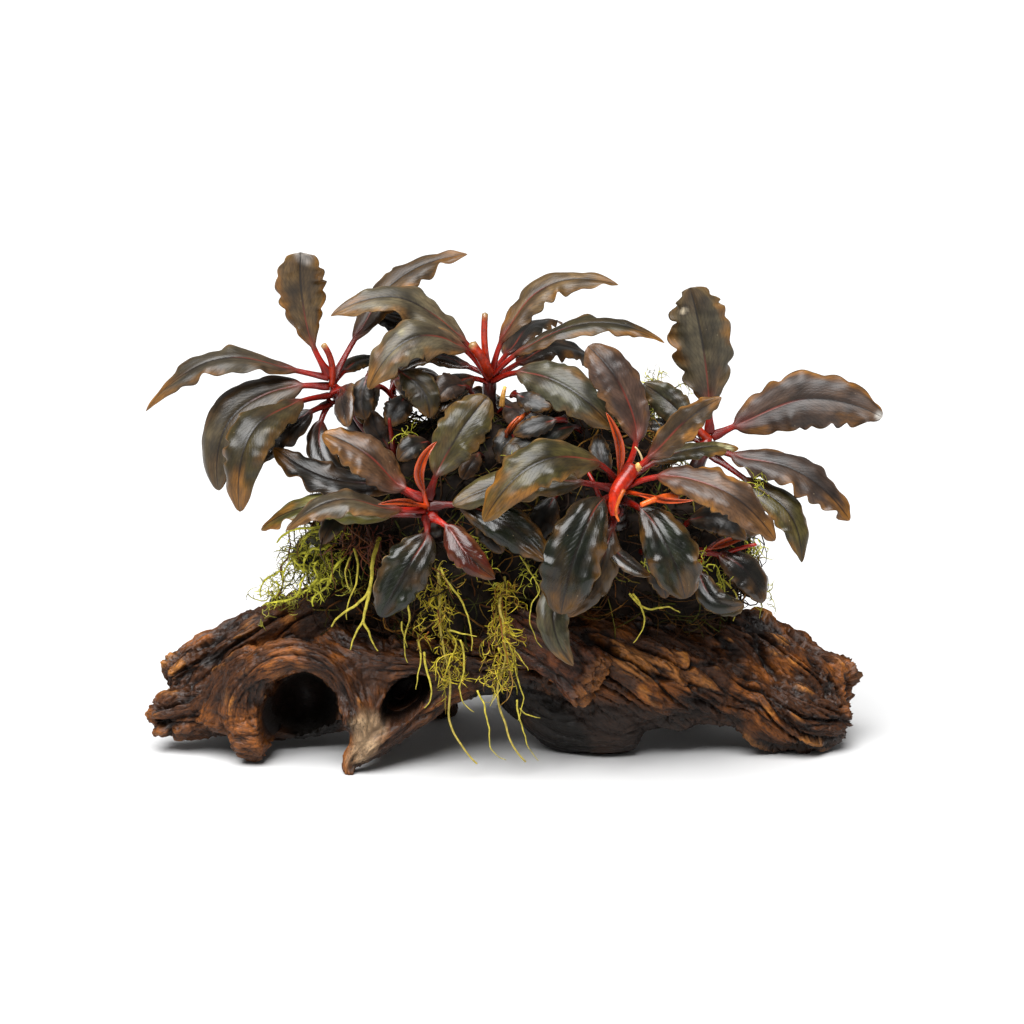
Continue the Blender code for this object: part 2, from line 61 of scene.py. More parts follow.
# Limbs of the log: rows of x, y, z and radius along each limb's middle.
LIMBS = {
    "upper_left": ((-97, 3, 18.3, 5.6), (-89, 5, 22.2, 7.4), (-78, 7, 27.4, 8.2),
                   (-64, 7, 33.0, 9.4), (-50, 6, 36.5, 11), (-40, 6, 37, 12)),
    "lower_left": ((-100.8, -3, 9.8, 6.3), (-91, -4, 10.5, 7.8), (-80, -3, 13, 10),
                   (-62, 2, 20, 12), (-40, 6, 28, 13)),
    "cavity_back": ((-76, -3, 11, 8.5), (-62, -2, 12, 9.5), (-48, -2, 16, 10.5), (-34, -2, 24, 11)),
    "back_left": ((-86, 12, 13, 8), (-72, 16, 18, 11), (-50, 14, 25, 13), (-30, 8, 30, 13)),
    "trunk": ((-50, 7, 31, 13), (-28, 4, 31, 15), (-4, 3, 32, 16), (20, 3, 32, 17), (44, 5, 28, 16)),
    "trunk_front": ((-34, -8, 31, 8), (-14, -9, 27, 10), (8, -8, 30, 11), (28, -8, 25, 14),
                    (44, -6, 21, 14), (60, -5, 18, 11)),
    "upper_right": ((30, 6, 31, 16), (50, 7, 27.5, 15), (66, 7, 24.5, 13.3), (80, 6, 20, 11.8),
                    (90, 6, 16.5, 10.2), (95, 5, 14, 8.5)),
    "lower_right": ((34, -6, 17, 12), (52, -6, 19.5, 11), (66, -5, 15.5, 10.5), (78, -5, 9.8, 10.5),
                    (89, -2, 9, 9), (94, 0, 9, 7.5)),
    "foot": ((22, -4, 24, 11), (28, -6, 15, 12.5), (34, -5, 10.5, 10.5)),
    "belly": ((0, 1, 26, 10), (7, 0, 15, 10), (14, -3, 9.8, 10), (26, -6, 9.6, 10.5), (34, -6, 10, 10)),
    "back_foot_left": ((-14, 10, 26, 12), (-20, 24, 16, 9), (-22.5, 31, 7, 7.5), (-23, 33, -3, 7)),
    "back_foot_right": ((46, 12, 22, 12), (50, 26, 12, 9.5), (52, 32, 5, 8), (52.5, 33, -4, 7.5)),
    "loop": ((-70, -13, 9.2, 8.6), (-75, -14.5, 15, 7.6), (-74, -16.5, 23, 6.3), (-67, -18.5, 30, 5.2),
             (-57.5, -20, 32.2, 4.7), (-49, -21, 28, 4.8), (-44.5, -22, 20, 4.8), (-43, -24, 13, 5.5)),
    "spur": ((-16, -12, 24, 8.5), (-26, -17.5, 17.5, 6), (-35.5, -21.5, 11.2, 6.2),
             (-41.5, -24.5, 6.2, 5.0), (-44.3, -25.8, 2.5, 3.2), (-44.8, -26, -2.5, 2.6)),
    "loop_foot": ((-75, -13, 9.0, 9.6), (-72, -14, 8.8, 9.5), (-68.5, -14.5, 8.4, 8.4)),
    "loop_fill": ((-83, -8, 10, 8), (-78, -10, 19, 8), (-69, -12, 28, 7)),
    "shoulder": ((-52, -9, 32, 7), (-40, -17, 28, 6), (-28, -18, 28, 4.6), (-17, -15, 26, 6)),
    "web": ((-38, -16, 28, 6), (-38, -18, 20, 6.5), (-38, -22, 12, 6)),
    "stub": ((-8, -9, 41, 6.5), (3, -17, 36, 5.2), (12, -21.5, 31.5, 4.2)),
}
# How rough each limb is: depth of the coarse grain, depth of the fine grain.
ROUGH = {
    "upper_left": (1.0, 1.0), "lower_left": (1.0, 1.0), "cavity_back": (0.6, 0.8),
    "back_left": (1.0, 1.0), "trunk": (1.0, 1.0), "trunk_front": (1.15, 1.0),
    "upper_right": (1.3, 1.1), "lower_right": (1.2, 1.1), "foot": (0.25, 0.4), "belly": (0.4, 0.6),
    "back_foot_left": (0.6, 0.8), "back_foot_right": (0.6, 0.8), "loop": (0.55, 1.3),
    "loop_fill": (0.8, 1.2), "loop_foot": (0.5, 1.2), "spur": (0.55, 1.2), "shoulder": (0.6, 1.1),
    "web": (0.4, 0.8), "stub": (0.45, 1.0),
}
# Middle line of the broken plank at the front, its half width and half thickness.
PLANK = ((-10, -8, 42, 7.5, 5), (3, -16.5, 36.5, 7.2, 4.6), (13, -21.5, 31.5, 7.2, 4.8),
         (18, -24, 28.4, 7.8, 5.2), (22.5, -26.4, 25.8, 8.2, 5.6))
# Spiral of the grain round a limb, radians per millimetre.
TWIST = {"upper_right": -0.035, "lower_right": -0.035, "trunk_front": -0.03, "trunk": -0.02,
         "upper_left": 0.02, "lower_left": 0.02}
WOOD_NODES = ("driftwood_left_limb", "driftwood_trunk", "driftwood_right_limb",
              "driftwood_root_loop", "driftwood_stub")
# Hollows: centre, radii, lean of the long axis and power of the fall towards the rim.
POCKET = ((-29.2, -22, 20.0), (7.0, 18, 5.6), 0.45, 0.5)
CAVITY = ((-58.5, -21, 13.5), (11.8, 27, 13.2), 0.0, 0.8)
# Stains, dark places and painted shade on the wood: line, inner and outer reach, colour, strength.
# In order: the black cavity behind the root loop, painted shade in the hollow; the red edge of the
# stub; the darkened foot; the black belly, painted shade under the trunk; a pale spot.
STAINS_AND_SHADE = (
    (((-55.5, -6, 8), (-55.5, -6, 17)), 5.5, 10.5, (0.004, 0.003, 0.002), 0.96),
    (((-2, -20, 46), (3, -22, 43)), 2.0, 6.0, (0.14, 0.035, 0.020), 0.8),
    (((17, -14, 10), (30, -17, 9), (40, -16, 6)), 7.0, 13.0, (0.016, 0.009, 0.006), 0.9),
    (((-2, -8, 16), (6, -8, 8), (12, -10, 4)), 9.0, 13.0, (0.004, 0.003, 0.002), 0.9),
    (((15.6, -16, 11), (15.8, -16, 11.6)), 1.0, 2.4, (0.12, 0.12, 0.12), 0.7),
)
# Deep cracks on the front of the log: depth, half width, then points.
CRACKS = (
    (3.0, 1.1, ((-103, -7, 13.5), (-94.4, -10, 18.3), (-85.9, -10, 22.7), (-77.4, -9, 29), (-66, -8, 36))),
    (2.0, 0.8, ((-90.6, -4, 26.3), (-79.3, -4, 32.1), (-70.2, -4, 38.4))),
    (3.2, 1.2, ((35.3, -20, 27.1), (51.9, -21, 24.2), (64.4, -20, 22.5), (77, -18, 20.3), (93, -12, 13.4))),
    (2.4, 1.0, ((40.9, -14, 46.1), (51.9, -17, 39.7), (61.5, -19, 33.1), (71.4, -18, 27.7))),
    (2.4, 1.0, ((24.2, -20, 41.9), (31.1, -21, 35.1), (40.8, -21, 29.4))),
    (2.2, 0.9, ((-80.5, -17, 4), (-80.5, -17, 11), (-77.5, -19, 18), (-73.0, -20, 25))),
    (2.0, 0.9, ((-96, -8, 22), (-84, -6, 29), (-72, -5, 36))),
)

# Ellipsoids: centre, then radii.
MAT = (
    ((-4, 8, 62), (50, 25, 33)),
    ((-28, 8, 62), (26, 22, 25)),
    ((18, 7, 66), (28, 23, 31)),
    ((44, 5, 54), (23, 21, 21)),
    ((-42, 5, 48), (14, 16, 17)),
    ((-30, 11, 77), (19, 15, 15)),
    ((-18, -10, 52), (20, 15, 17)),
    ((28, -7, 58), (22, 12, 16)),
)
MOSS = {
    "moss_left": (((-57.4, -6, 55.0), (8, 8, 6.5)), ((-67.0, 0, 42.7), (5, 6, 3.2)),
                  ((-52.7, -8, 61.8), (6, 7, 4.5)), ((-47.7, -10, 53.1), (5, 6, 6))),
    "moss_back": (((41, 34, 94), (10, 7, 9)), ((43, 28, 79), (9, 8, 11))),
}
# Hanging root bundles: rows of x, y, z and reach along the middle of each.
ROOT_BUNDLES = {
    "hanging_roots_long": ((-20, -20, 60, 3), (-20, -28, 52, 3.4), (-19, -30, 40, 3.2),
                           (-17, -31, 29, 1.5), (-16.5, -31, 16, 0.9), (-14, -30.5, 9, 0.8),
                           (-9.5, -30, 4, 0.7)),
    "hanging_roots_short": ((-2, -20, 54, 2), (-3, -28, 46, 2.2), (-2, -31, 34, 2.4),
                            (-4, -31, 25, 2.4), (-2, -30.5, 15, 1.3), (1, -30, 8, 1),
                            (4, -29, 4, 0.8)),
}

# Thick threads of the left moss: girth, then points. The last three are brown.
BROWN_ARCS = 3
MOSS_ARCS = (
    (0.46, ((-65.3, -10, 61.6), (-63.1, -10, 63.6), (-60.8, -11, 65.3), (-57.4, -12, 66.0),
            (-54.3, -12, 66.0), (-51.3, -12, 67.2), (-48.0, -12, 68.0), (-44.2, -10, 68.7))),
    (0.4, ((-58.3, -12, 60.1), (-57.4, -12, 62.6), (-56.0, -12, 64.3), (-53.0, -12, 65.2),
           (-49.7, -12, 66.3))),
    (0.42, ((-57.1, -14, 53.8), (-57.4, -14, 56.6), (-56.5, -14, 59.1), (-54.8, -14, 60.6),
            (-52.4, -13, 60.3), (-50.3, -12, 61.2))),
    (0.38, ((-61.8, -10, 57.9), (-59.7, -13, 56.6), (-57.4, -14, 54.3))),
    (0.42, ((-55.0, -15, 44.6), (-54.7, -15, 47.5), (-52.7, -15, 48.9), (-50.8, -15, 50.6),
            (-49.9, -15, 53.4), (-48.5, -15, 56.0), (-46.0, -14, 58.6))),
    (0.4, ((-69.7, -8, 42.9), (-68.0, -9, 44.0), (-65.4, -10, 44.5), (-61.6, -12, 45.6),
            (-58.9, -14, 48.1), (-58.3, -14, 50.9), (-57.2, -14, 52.9))),
    (0.34, ((-70.4, -6, 45.0), (-70.1, -6, 47.6), (-68.9, -6, 49.9), (-66.6, -7, 51.5), (-64.0, -8, 53.2))),
    (0.36, ((-63.9, -10, 50.8), (-63.0, -10, 53.7), (-61.6, -10, 56.0), (-59.6, -10, 57.7),
            (-57.0, -11, 59.0))),
    (0.36, ((-55.8, -15, 49.2), (-53.5, -15, 51.2), (-51.3, -15, 52.3), (-49.2, -14, 52.3))),
    (0.34, ((-59.8, -13, 46.4), (-57.5, -14, 48.4), (-55.2, -15, 49.7), (-53.3, -15, 48.3),
            (-52.5, -15, 46.3))),
    (0.3, ((-67.5, -7, 47.8), (-65.7, -8, 49.8), (-64.9, -8, 47.5), (-66.3, -8, 45.2))),
    (0.44, ((-53.5, -14, 57.4), (-54.6, -15, 55.4), (-53.5, -15, 52.9), (-55.2, -15, 50.6),
            (-56.0, -15, 48.6))),
    (0.34, ((-61.7, -10, 64.2), (-61.5, -10, 60.8), (-61.8, -10, 57.7), (-64.2, -9, 54.0),
            (-63.7, -9, 50.0), (-64.9, -9, 46.0))),
    (0.3, ((-50.3, -12, 60.4), (-51.9, -13, 58.3), (-51.0, -14, 55.7), (-53.0, -14, 53.2))),
    (0.3, ((-46.0, -14, 61.7), (-47.9, -15, 58.8), (-50.1, -15, 57.1), (-51.3, -15, 54.3))),
)

# Small tufts of moss threads: middle and reach.
TUFTS = (
    ((68, -4, 77), 3.5), ((68, -8, 60), 3.5), ((70.7, -6, 45.6), 3), ((-29, -12, 91.6), 3.5),
    ((57.9, -16, 52), 4), ((2, -22, 84), 4), ((8, -22, 80), 3.5), ((-6, -20, 80), 3.5),
    ((38, -22, 60), 3.5), ((20, -27, 56), 3.5), ((-8, -27, 58), 4), ((5, -28, 56), 4),
    ((24, 2, 97), 3.5), ((33, 8, 97), 4), ((-46, -16, 68), 4), ((-12, -22, 66), 3.5),
    ((52, -20, 58), 3), ((-8, 33, 60), 4.5), ((20, 32, 70), 4), ((-34, 27, 58), 4.5), ((8, 33, 52), 4),
    ((34, 27, 54), 4), ((-20, 30, 74), 4), ((-48, 14, 62), 4),
)
# Brown roots above the forked ones: middle, reach, number.
BROWN = ((-41, -18, 66), (7, 3, 4), 46)

# Yellow roots that lie on the wood: girth, then points.
FORKED_ROOTS = (
    (0.62, ((-36, -20, 65), (-38, -26, 58.8), (-38.3, -27, 53.5), (-40.8, -27.5, 49.3), (-45.5, -27, 45.9),
            (-49.4, -26, 41.4))),
    (0.48, ((-38.3, -27, 53.5), (-39.4, -28, 49), (-40.6, -27.5, 43.7), (-42.9, -26.5, 39.2),
            (-44.3, -26, 35))),
    (0.40, ((-40.6, -27.5, 43.7), (-38.5, -26.5, 38.6), (-36.6, -26, 34.7))),
    (0.36, ((-43, -20, 62), (-42.5, -25, 53), (-44.2, -25.5, 48.8), (-45.1, -25, 43.2))),
    (0.35, ((-30, -25, 52), (-28, -27, 44), (-29.5, -28, 38), (-28.5, -28, 32))),
    (0.3, ((10, -25, 50), (12, -28, 43), (9.5, -29, 38))),
    (0.35, ((32, -23, 50), (38, -24, 46), (42, -25, 47), (46, -24, 45))),
    (0.3, ((33, -23, 50), (36, -25, 43), (33, -26, 37))),
    (0.3, ((58, -14, 52), (62, -16, 47), (61, -17, 41))),
    (0.28, ((-30.0, -27, 43.1), (-30.0, -27, 41.1), (-29.2, -27, 38.3), (-28.7, -26.5, 35.7))),
    (0.36, ((-19.6, -26, 58.0), (-18.4, -28, 55.9), (-14.6, -29.5, 51.1), (-12.2, -30, 46.1),
            (-11.1, -30, 41.6), (-10.9, -29.5, 35.6))),
    (0.3, ((-17.1, -31, 41.9), (-13.0, -31, 40.8), (-9.5, -30, 39.9))),
    (0.26, ((-1.9, -30, 37.1), (0.3, -30, 36.0), (2.2, -30, 33.8), (4.4, -29, 29.8))),
    (0.36, ((-23.9, -31, 35.7), (-23.1, -31.5, 30.2), (-22.1, -31, 25.0), (-22.4, -30.5, 21.8),
            (-24.0, -30, 19.9))),
    (0.26, ((0.8, -29, 35.8), (1.4, -29.5, 28.6), (3.0, -29, 21.4), (1.9, -28, 15.7))),
    (0.22, ((2.5, -28.5, 19.2), (4.9, -27, 16.5), (7.7, -27, 16.2))),
    (0.24, ((2.2, -27, 61.8), (4.6, -29, 58.1), (7.3, -29.5, 52.1), (5.1, -30, 48.6),
            (4.9, -30, 43.9), (8.2, -28, 36.1))),
    (0.28, ((-9.3, -31, 25.0), (-7.1, -31, 18.8), (-6.3, -30.5, 13.8), (-5.8, -30, 8.3), (-1.6, -29, 4.6))),
    (0.26, ((1.4, -29, 21.6), (3.0, -28, 13.1), (5.2, -27, 6.5), (7.2, -26, 3.6))),
    (0.3, ((-25.8, -31, 39.1), (-24.7, -31.5, 35.0), (-25.3, -31.5, 30.2), (-26.1, -31, 25.0))),
    (0.3, ((-14.1, -31, 39.1), (-13.0, -31, 31.2), (-14.2, -31, 25.6), (-13.4, -30.5, 21.2),
           (-10.4, -30, 18.5))),
    (0.26, ((-44.2, -22, 60.4), (-45.4, -25, 55.8), (-43.6, -25.5, 51.1))),
)

# Crowns: foot of the stem inside the mat, then the point that the petioles leave from.
CROWNS = {
    "A": ("crown_upper_left", (-40, 7, 82), (-50, -2, 104)),
    "B": ("crown_upper_middle", (-4, 8, 88), (-6, 2, 106)),
    "C": ("crown_front_middle", (-19, -16, 60), (-23, -30, 76)),
    "D": ("crown_front_right", (29, -16, 68), (29, -28, 80)),
    "E": ("crown_upper_right", (48, 10, 64), (56, 14, 86)),
    "F": ("crown_low_right", (46, -6, 53), (52, -14, 59.5)),
    "G": ("crown_middle_left", (-26, 15, 82), (-33.5, 8.5, 99)),
    "H": ("crown_back", (8, 24, 70), (10, 33, 84)),
}

# Leaves: crown, height of the base against the crown, neck, crest and tip, blade width,
# turn of the upper face (0 up, 90 towards the viewer, -90 away), outline.
LEAVES = {
    "leaf_a1": ("A", 2.2, (-61, -4, 109), (-76, -8, 113), (-100.5, -10, 98.5), 12, 28, "lance"),
    "leaf_a2": ("A", 1.8, (-55, -3, 116), (-57.5, -3, 128), (-57.5, -7, 141.5), 13.4, 88, "spoon"),
    "leaf_a4": ("A", 1.2, (-42.5, 5, 118), (-33.5, 13, 130.5), (-12.5, 12, 139), 11.5, 40, "lance"),
    "leaf_a6": ("A", 0, (-59, -5, 104.5), (-76.5, -10, 97), (-80.5, -14, 77), 14.5, 64, "oval"),
    "leaf_a7": ("A", -2.4, (-59, -12, 101), (-69.5, -24, 96), (-73.5, -28, 74), 14, 62, "oval"),
    "leaf_a8": ("A", -4.6, (-56, -8, 97.5), (-63, -11, 93), (-73, -12, 83), 10.5, 48, "lance"),
    "leaf_b1": ("B", 0.8, (-14.5, 3.5, 117), (-32, 2, 128), (-50, -1, 123.5), 12.5, 35, "lance"),
    "leaf_b2": ("B", -1.3, (-14.5, -3.8, 115.5), (-26.5, -11, 119), (-39, -16, 105.5), 13, 48, "oval"),
    "leaf_b4": ("B", 0.5, (-2.5, 1, 117), (7, 3, 129.5), (29.5, 4, 131.5), 11, 36, "lance"),
    "leaf_b5": ("B", 0, (2, -2, 113.5), (22, -2, 121.5), (42, -4, 116.5), 10, 22, "lance"),
    "leaf_b6": ("B", -1, (3, -6, 108.5), (14.5, -14, 106), (27.5, -18, 95), 13, 60, "oval"),
    "leaf_b9": ("B", 0, (-1, 12, 111.5), (5, 24, 117), (14.5, 38, 116), 11, 30, "lance"),
    "leaf_b10": ("B", -1.2, (3, 11, 109), (13.5, 20, 112), (26, 27, 103.5), 11, 30, "oval"),
    "leaf_b12": ("B", 1.2, (-15, 11.5, 114), (-28, 14, 119.5), (-41.5, 18, 122.5), 11, 42, "oval"),
    "leaf_c1": ("C", -1.2, (-31, -34, 76), (-45.5, -39, 79.5), (-60, -42, 72), 12, 25, "lance"),
    "leaf_c2": ("C", 1.5, (-29.5, -29, 81), (-39.5, -29, 90.5), (-51, -25, 95), 12.5, 50, "oval"),
    "leaf_c3": ("C", 1, (-20, -28, 85), (-15, -27, 94), (-6.5, -22, 104.5), 13, 80, "blunt"),
    "leaf_c8": ("C", -2, (-23, -37, 69), (-27, -41, 63), (-35, -43, 48.5), 13, 90, "oval"),
    "leaf_c9": ("C", -2, (-17, -35, 71), (-13, -39, 66), (-4.5, -41, 58.5), 8.5, 70, "lance"),
    "leaf_c11": ("C", 0.5, (-31.5, -23, 79.5), (-50.5, -20, 82), (-65, -17, 89.5), 11, 40, "oval"),
    "leaf_c12": ("C", -2, (-34, -27, 73), (-54.5, -24, 75), (-68.5, -21, 67.5), 10, 35, "oval"),
    "leaf_c13": ("C", 0, (-13, -29, 76), (-1, -32, 71), (9.5, -36, 62.5), 11, 70, "oval"),
    "leaf_d1": ("D", 2.5, (22, -34, 89), (9.5, -41, 91), (-7.5, -45, 75), 13.5, 55, "oval"),
    "leaf_d2": ("D", 1.5, (33.5, -26, 95), (30, -24, 106), (20.5, -20, 118), 12.5, 75, "blunt"),
    "leaf_d4": ("D", 1.8, (38, -32, 91), (45.5, -33, 99), (55.5, -35, 106.5), 9.5, 50, "lance"),
    "leaf_d5": ("D", 1, (40, -26, 88), (51, -23, 90.5), (61.5, -20, 90), 8, 25, "oval"),
    "leaf_d6": ("D", 0.6, (41, -34, 85), (54, -39, 83), (70, -41, 69), 13, 45, "oval"),
    "leaf_d9": ("D", -1, (23.5, -37, 78.5), (17.5, -45, 68.5), (13, -48, 50.5), 16, 90, "blunt"),
    "leaf_d10": ("D", -4, (26.5, -33, 69.5), (23, -38, 59.5), (15, -41, 48), 10, 90, "lance"),
    "leaf_d11": ("D", -2.2, (35.5, -36, 75.5), (41.5, -43, 67), (46, -45, 54), 14, 90, "blunt"),
    "leaf_d14": ("D", -6, (14, -31, 56), (11, -37, 46), (16.5, -39, 34), 9, 90, "lance"),
    "leaf_d15": ("D", 0, (17, -29, 82.5), (-2, -30, 82), (-16, -31, 76.5), 11, 50, "oval"),
    "leaf_e1": ("E", 1, (55.5, 13, 98), (53.5, 12, 113.5), (49.5, 8, 130), 17, 88, "blunt"),
    "leaf_e2": ("E", 0.5, (64, 13, 90.5), (82.5, 11, 98), (104, 8, 93.5), 16, 68, "oval"),
    "leaf_e3": ("E", -2, (63, 10, 82), (78, 6, 79.5), (95, 3, 65), 12.5, 45, "oval"),
    "leaf_e4": ("E", -4, (67.5, 8, 74.5), (77, 3, 68), (81.5, 0, 53.5), 10, 60, "lance"),
    "leaf_e6": ("E", 0, (50.5, 17, 89.5), (46.5, 20, 94), (37.5, 23, 100.5), 9.5, 80, "oval"),
    "leaf_h1": ("H", 0.5, (2, 38, 90), (-10, 44, 92), (-24, 48, 82), 12.5, -55, "oval"),
    "leaf_h2": ("H", 1, (11, 39, 93), (14, 46, 92), (16, 49, 76), 12, -90, "lance"),
    "leaf_h3": ("H", 0.5, (18, 38, 89), (31, 43, 90), (44, 46, 80), 12.5, -55, "oval"),
    "leaf_h4": ("H", -2, (6, 40, 82), (0, 46, 74), (-6, 48, 56), 13, -90, "oval"),
}
SMALL_LEAVES = {
    "A": (
        (-4, (-53, -5.5, 93.5), (-52.5, -9, 87), (-43.5, -15, 80), 8, 70, "oval"),
        (0, (-46, 3, 108), (-43, 7, 109.5), (-37, 10, 110), 6, 50, "oval"),
        (-2, (-46, -10, 104.5), (-46, -19, 103), (-44, -26, 97), 8, 90, "oval"),
    ),
    "B": (
        (0, (-13.5, 7, 108.5), (-23, 9, 111), (-34, 7, 104), 8, 25, "oval"),
        (-2, (-11.5, -1, 106), (-15.5, -6, 105), (-19.5, -11, 98.5), 8, 60, "oval"),
    ),
    "G": (
        (1, (-31.5, 4, 105), (-27, -2, 104), (-21, -8, 96), 9, 65, "oval"),
        (0, (-38, 3, 103), (-40, -1, 101), (-41, -6, 94), 7, 80, "oval"),
        (0, (-33, 14, 103), (-27, 20, 105), (-20, 25, 99), 9, -20, "oval"),
    ),
    "D": ((-6, (27, -33, 66), (31, -37, 62), (37, -39, 59), 6, 60, "oval"),),
    "E": ((-2, (51, 17, 86), (44, 20, 89), (37, 21.5, 88), 8, 40, "oval"),),
    "F": (
        (0, (58, -16, 59), (64, -18, 55.5), (69, -19, 46.5), 10, 60, "oval"),
        (-2, (51.5, -21, 54.5), (55, -25, 49), (63, -25, 47.5), 7, 80, "oval"),
        (0, (57, -9, 62.5), (62.5, -5, 64.5), (70, -1, 63), 8, 60, "oval"),
    ),
}
# Small leaves past the solids' number, which lie on the root mat: tone, base, neck, crest,
# tip, width, turn, outline, pleats.
MAT_LEAVES = (
    ("green", (18.7, -8, 93), (15.8, -13, 94.5), (9.0, -17, 93.4),
     (-1.6, -19, 89.1), 7.5, 70, "oval", 0.35),
    ("dark", (4.4, -4, 92), (2.2, -9, 92.5), (-0.8, -14, 91.3), (-3.3, -17, 85.2), 8, 75, "oval", 0.3),
    ("purple", (-3.3, 4, 96), (-1.4, 0, 97.7), (2.2, -7, 97.2), (9.3, -11, 92.3), 9, 60, "oval", 0.2),
    ("dark", (-11.6, -2, 94), (-12.7, -6, 96.0), (-15.3, -12, 94.2),
     (-18.5, -16, 88.2), 8, 70, "oval", 0.3),
    ("pink", (-8.8, -10, 86), (-9.5, -15, 86.9), (-11.1, -19, 85.5),
     (-13.6, -21, 81.6), 5.5, 75, "blunt", 0.1),
    ("dark", (27.7, -16, 80), (25.8, -19, 83.9), (24.0, -18, 87.7), (23.8, -14, 92.8), 6, 85, "oval", 0.2),
    ("dark", (46.3, -10, 64), (50.0, -15, 69.2), (55.8, -18, 70.4), (64.0, -19, 64.3), 9, 60, "oval", 0.3),
    ("green", (13.1, -12, 87), (10.4, -17, 87.3), (4.9, -19, 86.8),
     (-1.9, -20, 82.2), 6.5, 75, "lance", 0.35),
    ("dark", (-22.5, -10, 88), (-24.0, -14, 90.4), (-27.2, -17, 89.8),
     (-31.0, -18, 86.1), 7, 70, "oval", 0.3),
    ("purple", (-32.3, -4, 84), (-35.0, -6, 89.0), (-37.4, -8, 93.2),
     (-38.6, -6, 98.0), 7, 80, "oval", 0.2),
    ("dark", (13.0, -16, 77), (10.8, -22, 75.6), (8.6, -25, 71.7), (4.9, -27, 65.1), 8, 80, "oval", 0.35),
    ("dark", (-9.4, -16, 72), (-8.2, -22, 71.9), (-5.9, -26, 68.3),
     (-2.7, -27, 62.2), 7.5, 80, "oval", 0.35),
    ("green", (-40, -6, 72), (-43, -12, 73), (-48, -17, 70), (-52, -19, 63), 7.5, 60, "oval", 0.3),
    ("dark", (34, -14, 60), (37, -20, 60), (40, -23, 56), (42, -24, 49), 7, 75, "oval", 0.3),
    ("deep", (-32.6, -8, 109.5), (-29.8, -10, 108.7), (-25.1, -12, 105.4),
     (-22.4, -14, 97.2), 9, 78, "oval", 0.1),
    ("purple", (-11.6, -4, 103.3), (-13.7, -7, 104.9), (-17.0, -10, 105.4),
     (-20.8, -12, 101.3), 8, 75, "oval", 0.1),
    ("dark", (-38.6, -4, 108.3), (-40.0, -8, 106.7), (-41.1, -10, 102.6),
     (-40.0, -12, 96.3), 7, 80, "oval", 0.1),
    ("dark", (0.3, -8, 102.8), (2.2, -12, 102.9), (5.7, -15, 102.1),
     (10.9, -16, 100.9), 6.5, 55, "oval", 0.45),
    ("dark", (14.7, -14, 96.9), (10.9, -17, 96.9), (5.4, -19, 95.6), (0.3, -18, 93.5), 6, 60, "oval", 0.45),
    ("grey", (1.1, -16, 92.6), (0.5, -18, 91.3), (0.0, -20, 89.5),
     (-1.1, -21, 86.1), 5.5, 75, "blunt", 0.4),
    ("silver", (52.5, -15, 48.6), (54.8, -18, 47.1), (58.5, -20, 45.9),
     (63.6, -18, 46.5), 7, 35, "oval", 0.2),
    ("dark", (38.4, -18, 56.7), (40.5, -21, 55.7), (43.7, -23, 54.5),
     (48.0, -23, 54.8), 6, 60, "oval", 0.3),
    ("dark", (-28.9, 2, 101.7), (-29.9, -2, 100.7), (-31.4, -6, 98.6),
     (-34.1, -8, 93.9), 8, 75, "oval", 0.2),
    ("dark", (-11.6, 0, 102.0), (-10.5, -4, 101.0), (-9.4, -6, 98.6), (-8.8, -8, 94.5), 6, 75, "oval", 0.2),
    ("olive", (-12, 28, 84), (-16, 34, 86), (-24, 40, 82), (-32, 43, 72), 11, -60, "oval", 0.15),
    ("brown", (14, 29, 76), (18, 35, 78), (24, 41, 73), (29, 43, 62), 11, -70, "oval", 0.15),
    ("grey", (-36, 18, 68), (-41, 24, 70), (-50, 29, 66), (-57, 30, 56), 10, -60, "oval", 0.15),
    ("dark", (-2, 32, 72), (-5, 38, 72), (-10, 43, 66), (-13, 44, 55), 10, -80, "oval", 0.2),
    ("purple", (40, 22, 70), (45, 27, 71), (53, 31, 66), (59, 32, 57), 10, -60, "oval", 0.15),
    ("green", (18, 33, 56), (20, 37, 55), (23, 41, 48), (24, 42, 38), 9, -85, "oval", 0.2),
    ("dark", (-30, 26, 60), (-34, 31, 60), (-40, 35, 55), (-44, 36, 46), 9, -75, "oval", 0.2),
    ("olive", (0, 22, 90), (-4, 28, 92), (-10, 34, 88), (-14, 37, 79), 9, -60, "oval", 0.2),
    ("dark", (22, 20, 88), (26, 27, 90), (33, 32, 87), (38, 35, 78), 9, -60, "oval", 0.2),
    ("purple", (-26, 22, 76), (-30, 28, 78), (-36, 33, 74), (-41, 35, 64), 9, -60, "oval", 0.2),
    ("green", (-14, 27, 64), (-17, 33, 64), (-22, 37, 58), (-25, 38, 49), 9, -80, "oval", 0.3),
    ("dark", (30, 26, 62), (34, 31, 62), (39, 34, 57), (42, 35, 48), 9, -80, "oval", 0.3),
    ("brown", (6, 30, 60), (8, 35, 59), (11, 38, 53), (12, 39, 44), 8, -85, "oval", 0.2),
    ("green", (-46, 10, 58), (-51, 14, 60), (-58, 18, 57), (-63, 20, 49), 8, -30, "oval", 0.3),
)
